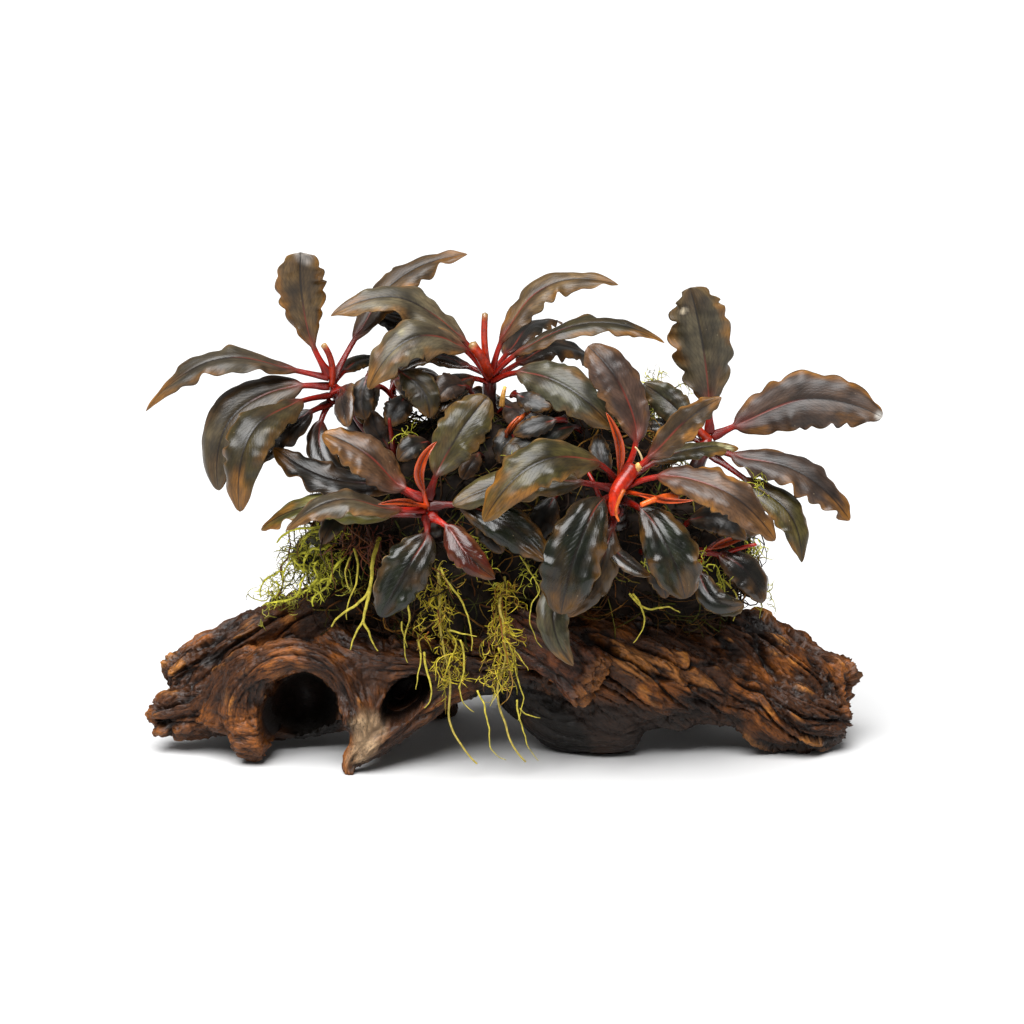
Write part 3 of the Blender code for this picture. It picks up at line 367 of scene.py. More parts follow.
# Shoots and cut stems on the mat: colour, girth, points.
SHOOTS = (
    ((0.45, 0.075, 0.010), 0.95, ((-2.5, -12, 91), (0.8, -13, 95.4), (5.8, -10, 99.0))),
    ((0.38, 0.060, 0.010), 0.6, ((-1.5, -13, 91), (-1.0, -15, 94.4), (1.8, -14, 97.5))),
    ((0.20, 0.010, 0.005), 0.75, ((-32.7, -6, 86), (-33.6, -8, 94.2), (-34.5, -4, 99.9))),
    ((0.22, 0.010, 0.005), 0.8, ((24.3, -20, 75), (22.2, -22, 80.6), (19.8, -18, 84.5))),
    ((0.62, 0.120, 0.012), 0.6, ((29.8, -37, 81.8), (28.5, -38, 79.3), (27.7, -38, 76.3),
                                 (28.5, -37, 73.4))),
    ((0.45, 0.020, 0.004), 2.5, ((32.5, -29, 86.2), (30.3, -31, 83.6), (28.1, -33, 80.8),
                                 (27.0, -34, 77.4), (27.6, -34, 74.7))),
    ((0.62, 0.090, 0.010), 1.2, ((44.1, -34, 79.3), (40.8, -36, 79.7), (37.5, -38, 79.3),
                                 (34.3, -39, 78.2))),
    ((0.50, 0.24, 0.045), 0.9, ((-2.8, -6, 99.1), (-2.5, -6, 101.9), (-1.9, -5, 104.3))),
    ((0.55, 0.42, 0.22), 0.38, ((35.0, -29, 86.4), (34.6, -29, 89.6), (33.0, -29, 92.0))),
    ((0.10, 0.006, 0.004), 1.3, ((-31.2, 0, 86), (-39.3, -3, 90.5), (-44.2, -3, 97.1))),
    ((0.30, 0.012, 0.005), 0.8, ((57, -13, 58), (62, -16, 61), (67, -17, 62.5))),
    ((0.60, 0.36, 0.11), 1.7, ((31.5, -27, 83.5), (33.0, -29.5, 85.5), (34.2, -31.0, 87.5))),
)
# Rolled new leaves and cut petioles: kind, middle, tip, half width.
SPEARS = {
    "A": (("cut", (-50, -3.5, 112), (-51.8, -5, 116), 0.9),),
    "B": (("cut", (-7.6, -0.8, 116), (-7.4, -1, 124.0), 0.95),
          ("cut", (-8.8, -2.5, 112.5), (-11.0, -3.5, 116.0), 1.4)),
    "C": (("rolled", (-24.5, -33, 86), (-20, -32, 94), 1.7),
          ("rolled", (-29.5, -38.5, 79), (-35.5, -42, 79), 1.1)),
    "D": (("rolled", (28.5, -32.5, 93), (25, -32.5, 102), 1.5),
          ("rolled", (41.5, -40, 79.5), (48, -44, 80.5), 1.0)),
    "E": (("cut", (52, 12, 90), (50, 10, 95), 1.2),),
    "F": (("rolled", (59, -14, 62.5), (64.5, -16, 64.5), 1.4),),
    "H": (("rolled", (8, 32, 92), (6.5, 31, 98), 1.2),),
}
# Stem of a crown: radius at the foot and the top, colour of the top. The near black top of G is
# painted shade, for a crown that stands in shade between the others.
STEMS = {"D": (2.9, 2.3, (0.34, 0.030, 0.006)), "B": (2.2, 1.9, (0.10, 0.006, 0.003)),
         "G": (2.4, 1.7, (0.020, 0.004, 0.002)), "H": (2.4, 1.7, (0.030, 0.005, 0.002))}
OUTLINES = {"lance": (0.85, 0.85), "oval": (0.95, 0.65), "blunt": (1.2, 0.55), "spoon": (1.7, 0.62)}

# Tones of the upper face, linear colour.
TONES = {
    "grey": (0.052, 0.039, 0.021),
    "pale": (0.086, 0.068, 0.036),
    "amber": (0.105, 0.062, 0.022),
    "olive": (0.050, 0.040, 0.010),
    "deep": (0.028, 0.021, 0.006),
    "lime": (0.120, 0.110, 0.022),
    "brown": (0.054, 0.030, 0.010),
    "purple": (0.036, 0.021, 0.014),
    "plum": (0.058, 0.032, 0.022),
    "pink": (0.082, 0.040, 0.018),
    "dark": (0.009, 0.007, 0.004),
    "green": (0.007, 0.009, 0.004),
    "red": (0.055, 0.009, 0.004),
    "silver": (0.054, 0.050, 0.026),
}
# Looks of a leaf: tone, amber margin, amber tip, wave height, pleats, roughness, red midrib. The
# amber is partly the leaf's own colour and partly painted glow of light through the thin edge.
LOOKS = {
    "leaf_a1": ("grey", 0.5, 0.8, 0.9, 0.10, 0.40, 0.5),
    "leaf_a2": ("amber", 1.0, 0.1, 1.2, 0.10, 0.40, 0.7),
    "leaf_a4": ("brown", 1.0, 0.9, 1.0, 0.10, 0.42, 0.5),
    "leaf_a6": ("grey", 0.3, 0.1, 0.7, 0.15, 0.36, 0.4),
    "leaf_a7": ("deep", 0.5, 1.0, 1.0, 0.12, 0.36, 0.3),
    "leaf_a8": ("dark", 0.2, 0.2, 0.7, 0.30, 0.28, 0.2),
    "leaf_b1": ("pale", 0.6, 0.9, 1.4, 0.12, 0.42, 0.3),
    "leaf_b2": ("pale", 0.6, 0.7, 1.3, 0.14, 0.40, 0.5),
    "leaf_b4": ("amber", 0.9, 0.4, 1.1, 0.10, 0.42, 0.9),
    "leaf_b5": ("deep", 0.5, 1.0, 1.1, 0.12, 0.40, 0.5),
    "leaf_b6": ("silver", 0.4, 0.6, 0.9, 0.14, 0.36, 0.3),
    "leaf_b9": ("dark", 0.3, 0.3, 0.9, 0.15, 0.30, 0.4),
    "leaf_b10": ("dark", 0.4, 0.6, 0.9, 0.15, 0.30, 0.4),
    "leaf_b12": ("dark", 0.3, 0.2, 0.8, 0.30, 0.28, 0.3),
    "leaf_c1": ("grey", 0.4, 0.5, 0.8, 0.15, 0.34, 0.5),
    "leaf_c2": ("pink", 0.7, 0.9, 0.9, 0.14, 0.34, 1.0),
    "leaf_c3": ("olive", 0.4, 0.3, 0.9, 0.14, 0.36, 0.3),
    "leaf_c8": ("green", 0.1, 0.0, 0.7, 0.40, 0.25, 0.3),
    "leaf_c9": ("red", 0.2, 0.2, 0.5, 0.10, 0.20, 0.9),
    "leaf_c11": ("dark", 0.4, 0.9, 0.9, 0.15, 0.32, 0.4),
    "leaf_c12": ("lime", 0.6, 1.0, 1.0, 0.12, 0.34, 0.3),
    "leaf_c13": ("green", 0.6, 0.6, 0.7, 0.42, 0.25, 0.2),
    "leaf_d1": ("olive", 1.0, 0.6, 1.0, 0.18, 0.36, 0.3),
    "leaf_d2": ("plum", 0.4, 0.4, 0.8, 0.14, 0.36, 1.0),
    "leaf_d4": ("brown", 1.0, 0.9, 0.8, 0.12, 0.38, 0.9),
    "leaf_d5": ("olive", 0.7, 0.9, 0.6, 0.12, 0.36, 0.3),
    "leaf_d6": ("pink", 1.0, 0.7, 1.1, 0.16, 0.38, 0.8),
    "leaf_d9": ("green", 0.35, 0.3, 0.8, 0.42, 0.25, 0.1),
    "leaf_d10": ("brown", 0.7, 0.6, 0.9, 0.15, 0.30, 0.3),
    "leaf_d11": ("green", 0.35, 0.3, 0.7, 0.40, 0.25, 0.1),
    "leaf_d14": ("silver", 0.2, 0.5, 0.6, 0.22, 0.32, 0.1),
    "leaf_d15": ("olive", 0.3, 0.3, 0.8, 0.14, 0.34, 0.3),
    "leaf_e1": ("pale", 0.7, 0.2, 1.2, 0.12, 0.42, 0.6),
    "leaf_e2": ("purple", 0.8, 0.2, 1.1, 0.12, 0.44, 0.7),
    "leaf_e3": ("purple", 0.9, 1.0, 1.1, 0.12, 0.42, 0.3),
    "leaf_e4": ("olive", 0.7, 0.2, 0.8, 0.14, 0.36, 0.2),
    "leaf_e6": ("silver", 0.3, 0.2, 0.7, 0.15, 0.36, 0.2),
    "leaf_h1": ("brown", 0.6, 0.6, 0.9, 0.14, 0.36, 0.5),
    "leaf_h2": ("green", 0.4, 0.4, 0.8, 0.30, 0.28, 0.4),
    "leaf_h3": ("olive", 0.6, 0.7, 0.9, 0.14, 0.36, 0.5),
    "leaf_h4": ("grey", 0.5, 0.5, 0.9, 0.16, 0.36, 0.5),
}
# Bites out of a margin: share of the length, side, share wide, share deep.
NOTCHES = {
    "leaf_a7": ((0.62, 1, 0.02, 0.35), (0.72, 1, 0.015, 0.25)),
    "leaf_e1": ((0.86, -1, 0.03, 0.30), (0.95, -1, 0.025, 0.35), (0.74, -1, 0.02, 0.18),
                (0.80, 1, 0.012, 0.2)),
    "leaf_d5": ((0.86, 1, 0.03, 0.5), (0.93, -1, 0.02, 0.4)),
    "leaf_a4": ((0.52, -1, 0.02, 0.25),),
    "leaf_b6": ((0.70, -1, 0.015, 0.22),),
    "leaf_d6": ((0.47, 1, 0.015, 0.2), (0.62, 1, 0.015, 0.2)),
}
# Marks on the upper face: share of the length, side, radius in millimetres, colour.
MARKS = {
    "leaf_e1": ((0.83, -0.48, 1.6, (0.02, 0.01, 0.008)), (0.83, -0.50, 1.0, (0.62, 0.52, 0.36))),
    "leaf_d5": ((0.88, 0.2, 1.3, (0.42, 0.40, 0.22)), (0.80, -0.2, 1.0, (0.30, 0.26, 0.12))),
    "leaf_a2": ((0.96, 0.3, 2.2, (0.30, 0.27, 0.24)),),
    "leaf_e2": ((0.985, 0.0, 1.4, (0.34, 0.32, 0.29)),),
    "leaf_b2": ((0.55, 0.45, 1.2, (0.13, 0.11, 0.05)),),
}


def unit(v):
    """The vectors divided by their lengths."""
    return v / np.maximum(np.linalg.norm(v, axis=-1, keepdims=True), 1e-12)


def dot(a, b):
    return np.sum(a * b, axis=-1, keepdims=True)


def smooth(low, high, x):
    """0 below low, 1 above high, and 3k^2 - 2k^3 between them."""
    k = np.clip((x - low) / (high - low), 0.0, 1.0)
    return k * k * (3.0 - 2.0 * k)


def mixed(a, b, share):
    """a where share is 0 and b where it is 1."""
    share = np.asarray(share)[..., None]
    return np.asarray(a) * (1.0 - share) + np.asarray(b) * share


def noise(points, seed):
    """Gradient noise, about -1 to 1. Each corner of a point's lattice cell has a random arrow,
    its value is the arrow's dot product with the way from the corner to the point, and the
    eight values are mixed by the fade curve 6t^5 - 15t^4 + 10t^3."""
    rng = np.random.default_rng(seed)
    order = rng.permutation(256)
    arrows = unit(rng.normal(size=(256, 3)))
    cell = np.floor(points).astype(np.int64)
    part = points - cell
    fade = part ** 3 * (part * (part * 6.0 - 15.0) + 10.0)
    total = np.zeros(points.shape[:-1])
    for corner in np.ndindex(2, 2, 2):
        at = (cell + corner) & 255
        key = order[(order[(order[at[..., 0]] + at[..., 1]) & 255] + at[..., 2]) & 255]
        value = np.sum(arrows[key] * (part - corner), axis=-1)
        total += value * np.prod(np.where(corner, fade, 1.0 - fade), axis=-1)
    return total * 1.7


def layered(points, seed, octaves=3):
    """Noise plus half as much at twice the scale, and so on."""
    return sum(noise(points * 2.0 ** k, seed + k) * 0.5 ** k for k in range(octaves))


def through(points, t, times=None):
    """Smooth curve through the points, at t from 0 to 1. Each point's time is its share of the
    chord length, its slope is the mean of the spans beside it, the end slopes come from a
    parabola, and a cubic Hermite joins two points."""
    points = np.asarray(points, float)
    if times is None:
        steps = np.linalg.norm(np.diff(points[:, :3], axis=0), axis=1)
        times = np.concatenate([[0.0], np.cumsum(steps)]) / steps.sum()
    span = np.diff(times)
    rise = np.diff(points, axis=0) / span[:, None]
    inner = (rise[:-1] * span[1:, None] + rise[1:] * span[:-1, None]) / (span[1:] + span[:-1])[:, None]
    slopes = np.concatenate([[2 * rise[0] - inner[0]], inner, [2 * rise[-1] - inner[-1]]])
    i = np.clip(np.searchsorted(times, t, side="right") - 1, 0, len(span) - 1)
    u = ((t - times[i]) / span[i])[:, None]
    h = span[i][:, None]
    a = points[i] * (2 * u ** 3 - 3 * u ** 2 + 1) + slopes[i] * h * (u ** 3 - 2 * u ** 2 + u)
    return a + points[i + 1] * (3 * u ** 2 - 2 * u ** 3) + slopes[i + 1] * h * (u ** 3 - u ** 2)


def waver(points, size, seeds):
    """Three noises of the same size, each with its own seed, as one vector per point."""
    return np.stack([noise(points / size, seed) for seed in seeds], 1)


def carried_frames(paths):
    """Heading, side and up along each of N paths. The side is carried along a path by taking
    out its part along the new heading, so that the frame doesn't twist."""
    ahead = unit(np.gradient(paths, axis=1))
    start = np.where(np.abs(ahead[:, :1, 2]) < 0.9, [0.0, 0.0, 1.0], [0.0, 1.0, 0.0])
    sides = np.empty_like(paths)
    last = start
    for k in range(paths.shape[1]):
        last = unit(last - ahead[:, k] * dot(last, ahead[:, k]))
        sides[:, k] = last
    return ahead, sides, np.cross(ahead, sides)


def ring_quads(rows, columns, shells=1):
    """Quads of a grid that closes round its columns, for each of several equal shells."""
    i, j = np.meshgrid(np.arange(rows - 1), np.arange(columns), indexing="ij")
    k = (j + 1) % columns
    quads = np.stack([i * columns + j, i * columns + k, (i + 1) * columns + k, (i + 1) * columns + j], -1)
    step = rows * columns + 2
    return (quads.reshape(1, -1, 4) + np.arange(shells)[:, None, None] * step).reshape(-1, 4)


def pole_triangles(rows, columns, shells=1):
    """Fans that close both ends of each shell to its two pole vertices."""
    j = np.arange(columns)
    k = (j + 1) % columns
    base = rows * columns
    first = np.stack([np.full(columns, base), k, j], -1)
    last = np.stack([np.full(columns, base + 1), base - columns + j, base - columns + k], -1)
    fans = np.concatenate([first, last])[None]
    return (fans + np.arange(shells)[:, None, None] * (base + 2)).reshape(-1, 3)


class Shape:
    """Vertices, quads, triangles and values per vertex, gathered before they become one mesh."""

    def __init__(self):
        self.points, self.quads, self.triangles, self.values = [], [], [], {}
        self.count = 0

    def add(self, points, quads, triangles, **values):
        points = points.reshape(-1, 3)
        self.points.append(points)
        self.quads.append(quads + self.count)
        self.triangles.append(triangles + self.count)
        for key, value in values.items():
            self.values.setdefault(key, []).append(value.reshape(len(points), -1))
        self.count += len(points)

    def mesh(self, name):
        """The gathered arrays as a smooth-shaded mesh in metres, with their point attributes."""
        points = np.concatenate(self.points) * MM
        quads = np.concatenate(self.quads)
        triangles = np.concatenate(self.triangles)
        corners = np.concatenate([quads.ravel(), triangles.ravel()])
        starts = np.concatenate([np.arange(len(quads)) * 4,
                                 len(quads) * 4 + np.arange(len(triangles)) * 3])
        made = bpy.data.meshes.new(name)
        made.vertices.add(len(points))
        made.vertices.foreach_set("co", points.astype(np.float32).ravel())
        made.loops.add(len(corners))
        made.loops.foreach_set("vertex_index", corners.astype(np.int32))
        made.polygons.add(len(starts))
        made.polygons.foreach_set("loop_start", starts.astype(np.int32))
        made.polygons.foreach_set("use_smooth", np.ones(len(starts), bool))
        made.update(calc_edges=True)
        for key, parts in self.values.items():
            paint(made, key, np.concatenate(parts))
        return made


def paint(mesh, key, values):
    """Stores one number, a vector or a colour per vertex under a name that materials read."""
    values = values.reshape(len(mesh.vertices), -1).astype(np.float32)
    if key == "tint":
        layer = mesh.color_attributes.new(key, "FLOAT_COLOR", "POINT")
        full = np.concatenate([values, np.ones((len(values), 1), np.float32)], 1)[:, :4]
        layer.data.foreach_set("color", full.ravel())
    elif values.shape[1] == 3:
        mesh.attributes.new(key, "FLOAT_VECTOR", "POINT").data.foreach_set("vector", values.ravel())
    else:
        mesh.attributes.new(key, "FLOAT", "POINT").data.foreach_set("value", values.ravel())


def linked(name, data):
    """A new object in the scene."""
    made = bpy.data.objects.new(name, data)
    bpy.context.scene.collection.objects.link(made)
    return made


def place(name, mesh, material, nodes=()):
    """Links the mesh as a piece that rides on the part and stands for the solids named."""
    piece = linked(name, mesh)
    mesh.materials.append(material)
    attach(piece, "root")
    if nodes:
        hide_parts(*nodes)
    return piece


def add_tubes(shape, paths, radii, sides, tint, gloss=None):
    """Round tubes along N paths of K stations: a ring of the station's radius in the carried
    frame at each station, and a pole half a radius beyond each end. With a gloss they take
    the leaf skin, and a fourth number of 2 in their tint says that they have no midrib."""
    count, rows = paths.shape[:2]
    ahead, side, up = carried_frames(paths)
    angle = np.linspace(0.0, 2.0 * np.pi, sides, endpoint=False)
    ring = side[:, :, None] * np.cos(angle)[:, None] + up[:, :, None] * np.sin(angle)[:, None]
    skin = paths[:, :, None] + ring * radii[:, :, None, None]
    ends = np.stack([paths[:, 0] - ahead[:, 0] * radii[:, :1] * 0.5,
                     paths[:, -1] + ahead[:, -1] * radii[:, -1:] * 0.5], 1)
    points = np.concatenate([skin.reshape(count, -1, 3), ends], 1)
    colours = np.concatenate([np.repeat(tint, sides, axis=1), tint[:, :1], tint[:, -1:]], 1)
    extra = {}
    if gloss is not None:
        colours = np.concatenate([colours, np.full(colours.shape[:2] + (1,), 2.0)], 2)
        extra = {"gloss": np.full(points.shape[:2], gloss), "blade": points}
    shape.add(points, ring_quads(rows, sides, count), pole_triangles(rows, sides, count),
              tint=colours, **extra)


def from_blender(obj):
    """The mesh of an object after its modifiers. The object itself is removed."""
    bpy.context.view_layer.update()
    graph = bpy.context.evaluated_depsgraph_get()
    mesh = bpy.data.meshes.new_from_object(
        obj.evaluated_get(graph), preserve_all_data_layers=True, depsgraph=graph)
    bpy.data.objects.remove(obj)
    return mesh


def fused_skin(name, shape, voxel, smoothing, levels):
    """One closed skin round overlapping shells: a voxel remesh, smoothing, then subdivision."""
    obj = linked(name, shape.mesh(name))
    remesh = obj.modifiers.new("remesh", "REMESH")
    remesh.mode = "VOXEL"
    remesh.voxel_size = voxel * MM
    relax = obj.modifiers.new("relax", "SMOOTH")
    relax.factor = 0.5
    relax.iterations = smoothing
    finer = obj.modifiers.new("finer", "SUBSURF")
    finer.levels = finer.render_levels = levels
    return from_blender(obj)


def thinned(name, mesh, triangles):
    """The mesh with edges collapsed where it is flattest, down to the number of triangles."""
    obj = linked(name, mesh)
    fewer = obj.modifiers.new("fewer", "DECIMATE")
    fewer.ratio = triangles / (2.0 * len(mesh.polygons))
    made = from_blender(obj)
    made.name = name
    return made


def corners_of(mesh):
    """Vertex places in millimetres and vertex normals of a mesh, as arrays."""
    places = np.empty(len(mesh.vertices) * 3, np.float32)
    mesh.vertices.foreach_get("co", places)
    normals = np.empty(len(mesh.vertices) * 3, np.float32)
    mesh.vertex_normals.foreach_get("vector", normals)
    return places.reshape(-1, 3).astype(float) / MM, normals.reshape(-1, 3).astype(float)


def set_corners(mesh, points):
    mesh.vertices.foreach_set("co", (points * MM).astype(np.float32).ravel())
    mesh.polygons.foreach_set("use_smooth", np.ones(len(mesh.polygons), bool))
    mesh.update()


# Materials

def shader_of(name):
    """A new material, its node tree and its shader."""
    material = bpy.data.materials.new(name)
    material.use_nodes = True
    return material, material.node_tree, material.node_tree.nodes["Principled BSDF"]


def feed(tree, made, inputs):
    """Gives each input of a node a number or colour, or a wire from the socket named."""
    for key, value in inputs.items():
        if isinstance(value, bpy.types.NodeSocket):
            tree.links.new(value, made.inputs[key])
        else:
            made.inputs[key].default_value = value


def node(tree, kind, inputs, **values):
    """Adds a shader node with its settings and inputs, and returns its outputs."""
    made = tree.nodes.new("ShaderNode" + kind)
    for key, value in values.items():
        setattr(made, key, value)
    feed(tree, made, inputs)
    return made.outputs


def painted(tree, key):
    return node(tree, "Attribute", {}, attribute_name=key)


def worked(tree, operation, *inputs):
    """The result of a math node."""
    return node(tree, "Math", dict(enumerate(inputs)), operation=operation)[0]


def scaled(tree, vector, by):
    return node(tree, "VectorMath", {0: vector, "Scale": by}, operation="SCALE")[0]


def squeezed(tree, vector, factors):
    return node(tree, "VectorMath", {0: vector, 1: factors}, operation="MULTIPLY")[0]


def mapped(tree, value, low, high, to_low=0.0, to_high=1.0):
    """The value carried from one range to another, and held inside it."""
    return node(tree, "MapRange", {"Value": value, "From Min": low, "From Max": high,
                                   "To Min": to_low, "To Max": to_high})[0]


def cloudy(tree, vector, scale, detail, roughness=0.5):
    return node(tree, "TexNoise", {"Vector": vector, "Scale": scale, "Detail": detail,
                                   "Roughness": roughness}, noise_dimensions="3D")["Fac"]


def blended(tree, share, a, b):
    """Colour a where share is 0 and b where it is 1."""
    return node(tree, "Mix", {"Factor": share, "A": a, "B": b},
                data_type="RGBA", blend_type="MIX")["Result"]


def bumped(tree, height, strength, distance):
    return node(tree, "Bump", {"Strength": strength, "Distance": distance, "Height": height})[0]


def group_of(name, numbers, outputs):
    """A new node group that takes a vector and the numbers named, with its two end nodes."""
    group = bpy.data.node_groups.new(name, "ShaderNodeTree")
    face = group.interface
    face.new_socket("Vector", in_out="INPUT", socket_type="NodeSocketVector")
    for key, value in numbers.items():
        socket = face.new_socket(key, in_out="INPUT", socket_type="NodeSocketFloat")
        socket.default_value = value
    for key in outputs:
        face.new_socket(key, in_out="OUTPUT", socket_type="NodeSocketFloat")
    return group, group.nodes.new("NodeGroupInput").outputs, group.nodes.new("NodeGroupOutput")


def fibre_group():
    """Streaks along the first axis of the vector: noise whose first axis is stretched, at a
    coarse and a fine scale. Streak is their mix, Height the same for a bump."""
    group, given, sink = group_of("grain_streaks", {"Stretch": 0.12, "Scale": 1.0}, ("Streak", "Height"))
    factors = node(group, "CombineXYZ", {0: given["Stretch"], 1: 1.0, 2: 1.0})[0]
    spot = scaled(group, squeezed(group, given["Vector"], factors), given["Scale"])
    coarse = cloudy(group, spot, 0.9, 4.0, 0.6)
    fine = cloudy(group, spot, 3.2, 3.0)
    both = worked(group, "MULTIPLY_ADD", fine, 0.5, worked(group, "MULTIPLY", coarse, 0.5))
    feed(group, sink, {"Streak": mapped(group, both, 0.36, 0.64), "Height": both})
    return group


def vein_group():
    """Leaf veins from a vector of millimetres along the blade, millimetres from the midrib and
    side. Streak is noise stretched along the blade, so that it runs in arcs beside the margins.
    Vein is the sine of the length less the distance out, Rib marks the midrib, Height is a sum
    for a bump, Speck marks rare dots and Cloud is soft noise."""
    group, given, sink = group_of("leaf_veins", {}, ("Streak", "Vein", "Rib", "Height", "Speck", "Cloud"))
    spot = given["Vector"]
    parts = node(group, "SeparateXYZ", {0: spot})
    cloud = cloudy(group, spot, 0.35, 3.0)
    streak = cloudy(group, squeezed(group, spot, (0.13, 1.7, 1.0)), 0.8, 3.0)
    out = worked(group, "ABSOLUTE", parts[1])
    lean = worked(group, "MULTIPLY_ADD", out, -1.9, parts[0])
    bent = worked(group, "MULTIPLY_ADD", cloud, 3.0, lean)
    wave = worked(group, "SINE", worked(group, "MULTIPLY", bent, 3.0))
    vein = mapped(group, wave, 0.70, 1.0)
    ridges = worked(group, "MULTIPLY_ADD", vein, 0.30, streak)
    height = worked(group, "MULTIPLY_ADD", cloudy(group, spot, 2.2, 3.0), 0.35, ridges)
    dots = node(group, "TexVoronoi", {"Vector": spot, "Scale": 0.30}, feature="F1")["Distance"]
    feed(group, sink, {"Streak": mapped(group, streak, 0.33, 0.67), "Vein": vein,
                       "Rib": mapped(group, out, 0.42, 0.16), "Height": height,
                       "Speck": mapped(group, dots, 0.050, 0.025, 0.0, 0.45), "Cloud": cloud})
    return group


def wood_material(settings, fibres):
    """Wet driftwood: the painted tint, darkened and lit by streaks along the grain."""
    material, tree, shader = shader_of("wet_driftwood")
    grain = {"Vector": painted(tree, "grain")["Vector"], "Stretch": 0.20, "Scale": 1.5}
    streaks = node(tree, "Group", grain, node_tree=fibres)
    streak = streaks["Streak"]
    feed(tree, shader, {
        "Base Color": scaled(tree, painted(tree, "tint")["Color"],
                             mapped(tree, streak, 0.0, 1.0, 0.35, 1.80)),
        "Roughness": mapped(tree, streak, 0.0, 1.0, settings.wetness_low, settings.wetness_high),
        "Normal": bumped(tree, streaks["Height"], 1.0, settings.fine_grain),
        "Specular IOR Level": 0.25, "Coat Weight": 0.05, "Coat Roughness": 0.25})
    return material


def leaf_material(name, veins, depth, coat):
    """Leaf skin: the painted tint with veins, cloudy patches, specks and a midrib, and the
    painted gloss. The tint's fourth number reddens the midrib; above 1.5 there is none."""
    material, tree, shader = shader_of(name)
    tint = painted(tree, "tint")
    net = node(tree, "Group", {"Vector": painted(tree, "blade")["Vector"]}, node_tree=veins)
    cloud = mapped(tree, net["Cloud"], 0.3, 0.7, 0.65, 1.4)
    lines = mapped(tree, net["Streak"], 0.0, 1.0, 0.75, 1.25)
    shade = scaled(tree, tint["Color"], worked(tree, "MULTIPLY", cloud, lines))
    veined = blended(tree, net["Vein"], shade, scaled(tree, shade, 0.72))
    rib = blended(tree, tint["Alpha"], (0.007, 0.004, 0.003, 1.0), (0.15, 0.022, 0.012, 1.0))
    blade_only = worked(tree, "LESS_THAN", tint["Alpha"], 1.5)
    reach = worked(tree, "MULTIPLY", worked(tree, "MULTIPLY", net["Rib"], blade_only), 0.8)
    ribbed = blended(tree, reach, veined, rib)
    feed(tree, shader, {
        "Base Color": blended(tree, net["Speck"], ribbed, (0.46, 0.36, 0.22, 1.0)),
        "Roughness": painted(tree, "gloss")["Fac"],
        "Normal": bumped(tree, net["Height"], 0.4, depth),
        "Specular IOR Level": 0.40, "Coat Weight": coat, "Coat Roughness": 0.2})
    return material


def strand_material(name, roughness, gleam=0.3):
    """Roots, moss and fibres: the painted tint with a fine mottle in object space."""
    material, tree, shader = shader_of(name)
    mottle = cloudy(tree, node(tree, "TexCoord", {})["Object"], 900.0, 2.0)
    shade = scaled(tree, painted(tree, "tint")["Color"], mapped(tree, mottle, 0.3, 0.7, 0.6, 1.35))
    feed(tree, shader, {"Base Color": shade, "Roughness": roughness, "Specular IOR Level": gleam})
    return material


# Driftwood

def limb_lines(stations):
    """Centres, radii and arc length along every limb, each at the same number of stations."""
    t = np.linspace(0.0, 1.0, stations)
    lines = {}
    for name, rows in LIMBS.items():
        line = through(rows, t)
        steps = np.linalg.norm(np.diff(line[:, :3], axis=0), axis=1)
        lines[name] = (line[:, :3], line[:, 3], np.concatenate([[0.0], np.cumsum(steps)]))
    return lines


def grain_at(points, lines):
    """For each limb, the points near it, their weight and their place in the limb's own
    straightened space: distance along, and two distances across in the carried frame. A limb
    weighs exp(-(e/2)^2), with e the height of the point above that limb's round skin."""
    found = {}
    for index, (name, (centres, radii, length)) in enumerate(lines.items()):
        ahead, side, up = (a[0] for a in carried_frames(centres[None]))
        reach = radii.max() + 5.0
        near = np.all((points > centres.min(0) - reach) & (points < centres.max(0) + reach), axis=1)
        near = np.flatnonzero(near)
        here = points[near]
        nearest = np.zeros(len(here), int)
        best = np.full(len(here), 1e9)
        for k in range(len(centres)):
            gap = np.sum((here - centres[k]) ** 2, axis=1)
            closer = gap < best
            nearest[closer] = k
            best[closer] = gap[closer]
        away = here - centres[nearest]
        shift = np.sum(away * ahead[nearest], axis=1)
        s = length[nearest] + np.clip(shift, -2.5, 2.5)
        u = np.sum(away * side[nearest], axis=1)
        v = np.sum(away * up[nearest], axis=1)
        spin = TWIST.get(name, 0.0) * s
        u, v = u * np.cos(spin) - v * np.sin(spin), u * np.sin(spin) + v * np.cos(spin)
        over = np.maximum(np.sqrt(best) - radii[nearest], 0.0)
        weight = np.exp(-(over / 2.0) ** 2)
        use = weight > 0.02
        found[name] = (near[use], weight[use], np.stack([s + 90.0 * index, u, v], 1)[use])
    return found


def near_line(points, line):
    """Distance from each point to a line of straight pieces."""
    best = np.full(len(points), 1e9)
    line = np.asarray(line, float)
    for a, b in zip(line[:-1], line[1:]):
        k = np.clip((points - a) @ (b - a) / np.sum((b - a) ** 2), 0.0, 1.0)
        best = np.minimum(best, np.linalg.norm(points - a - k[:, None] * (b - a), axis=1))
    return best


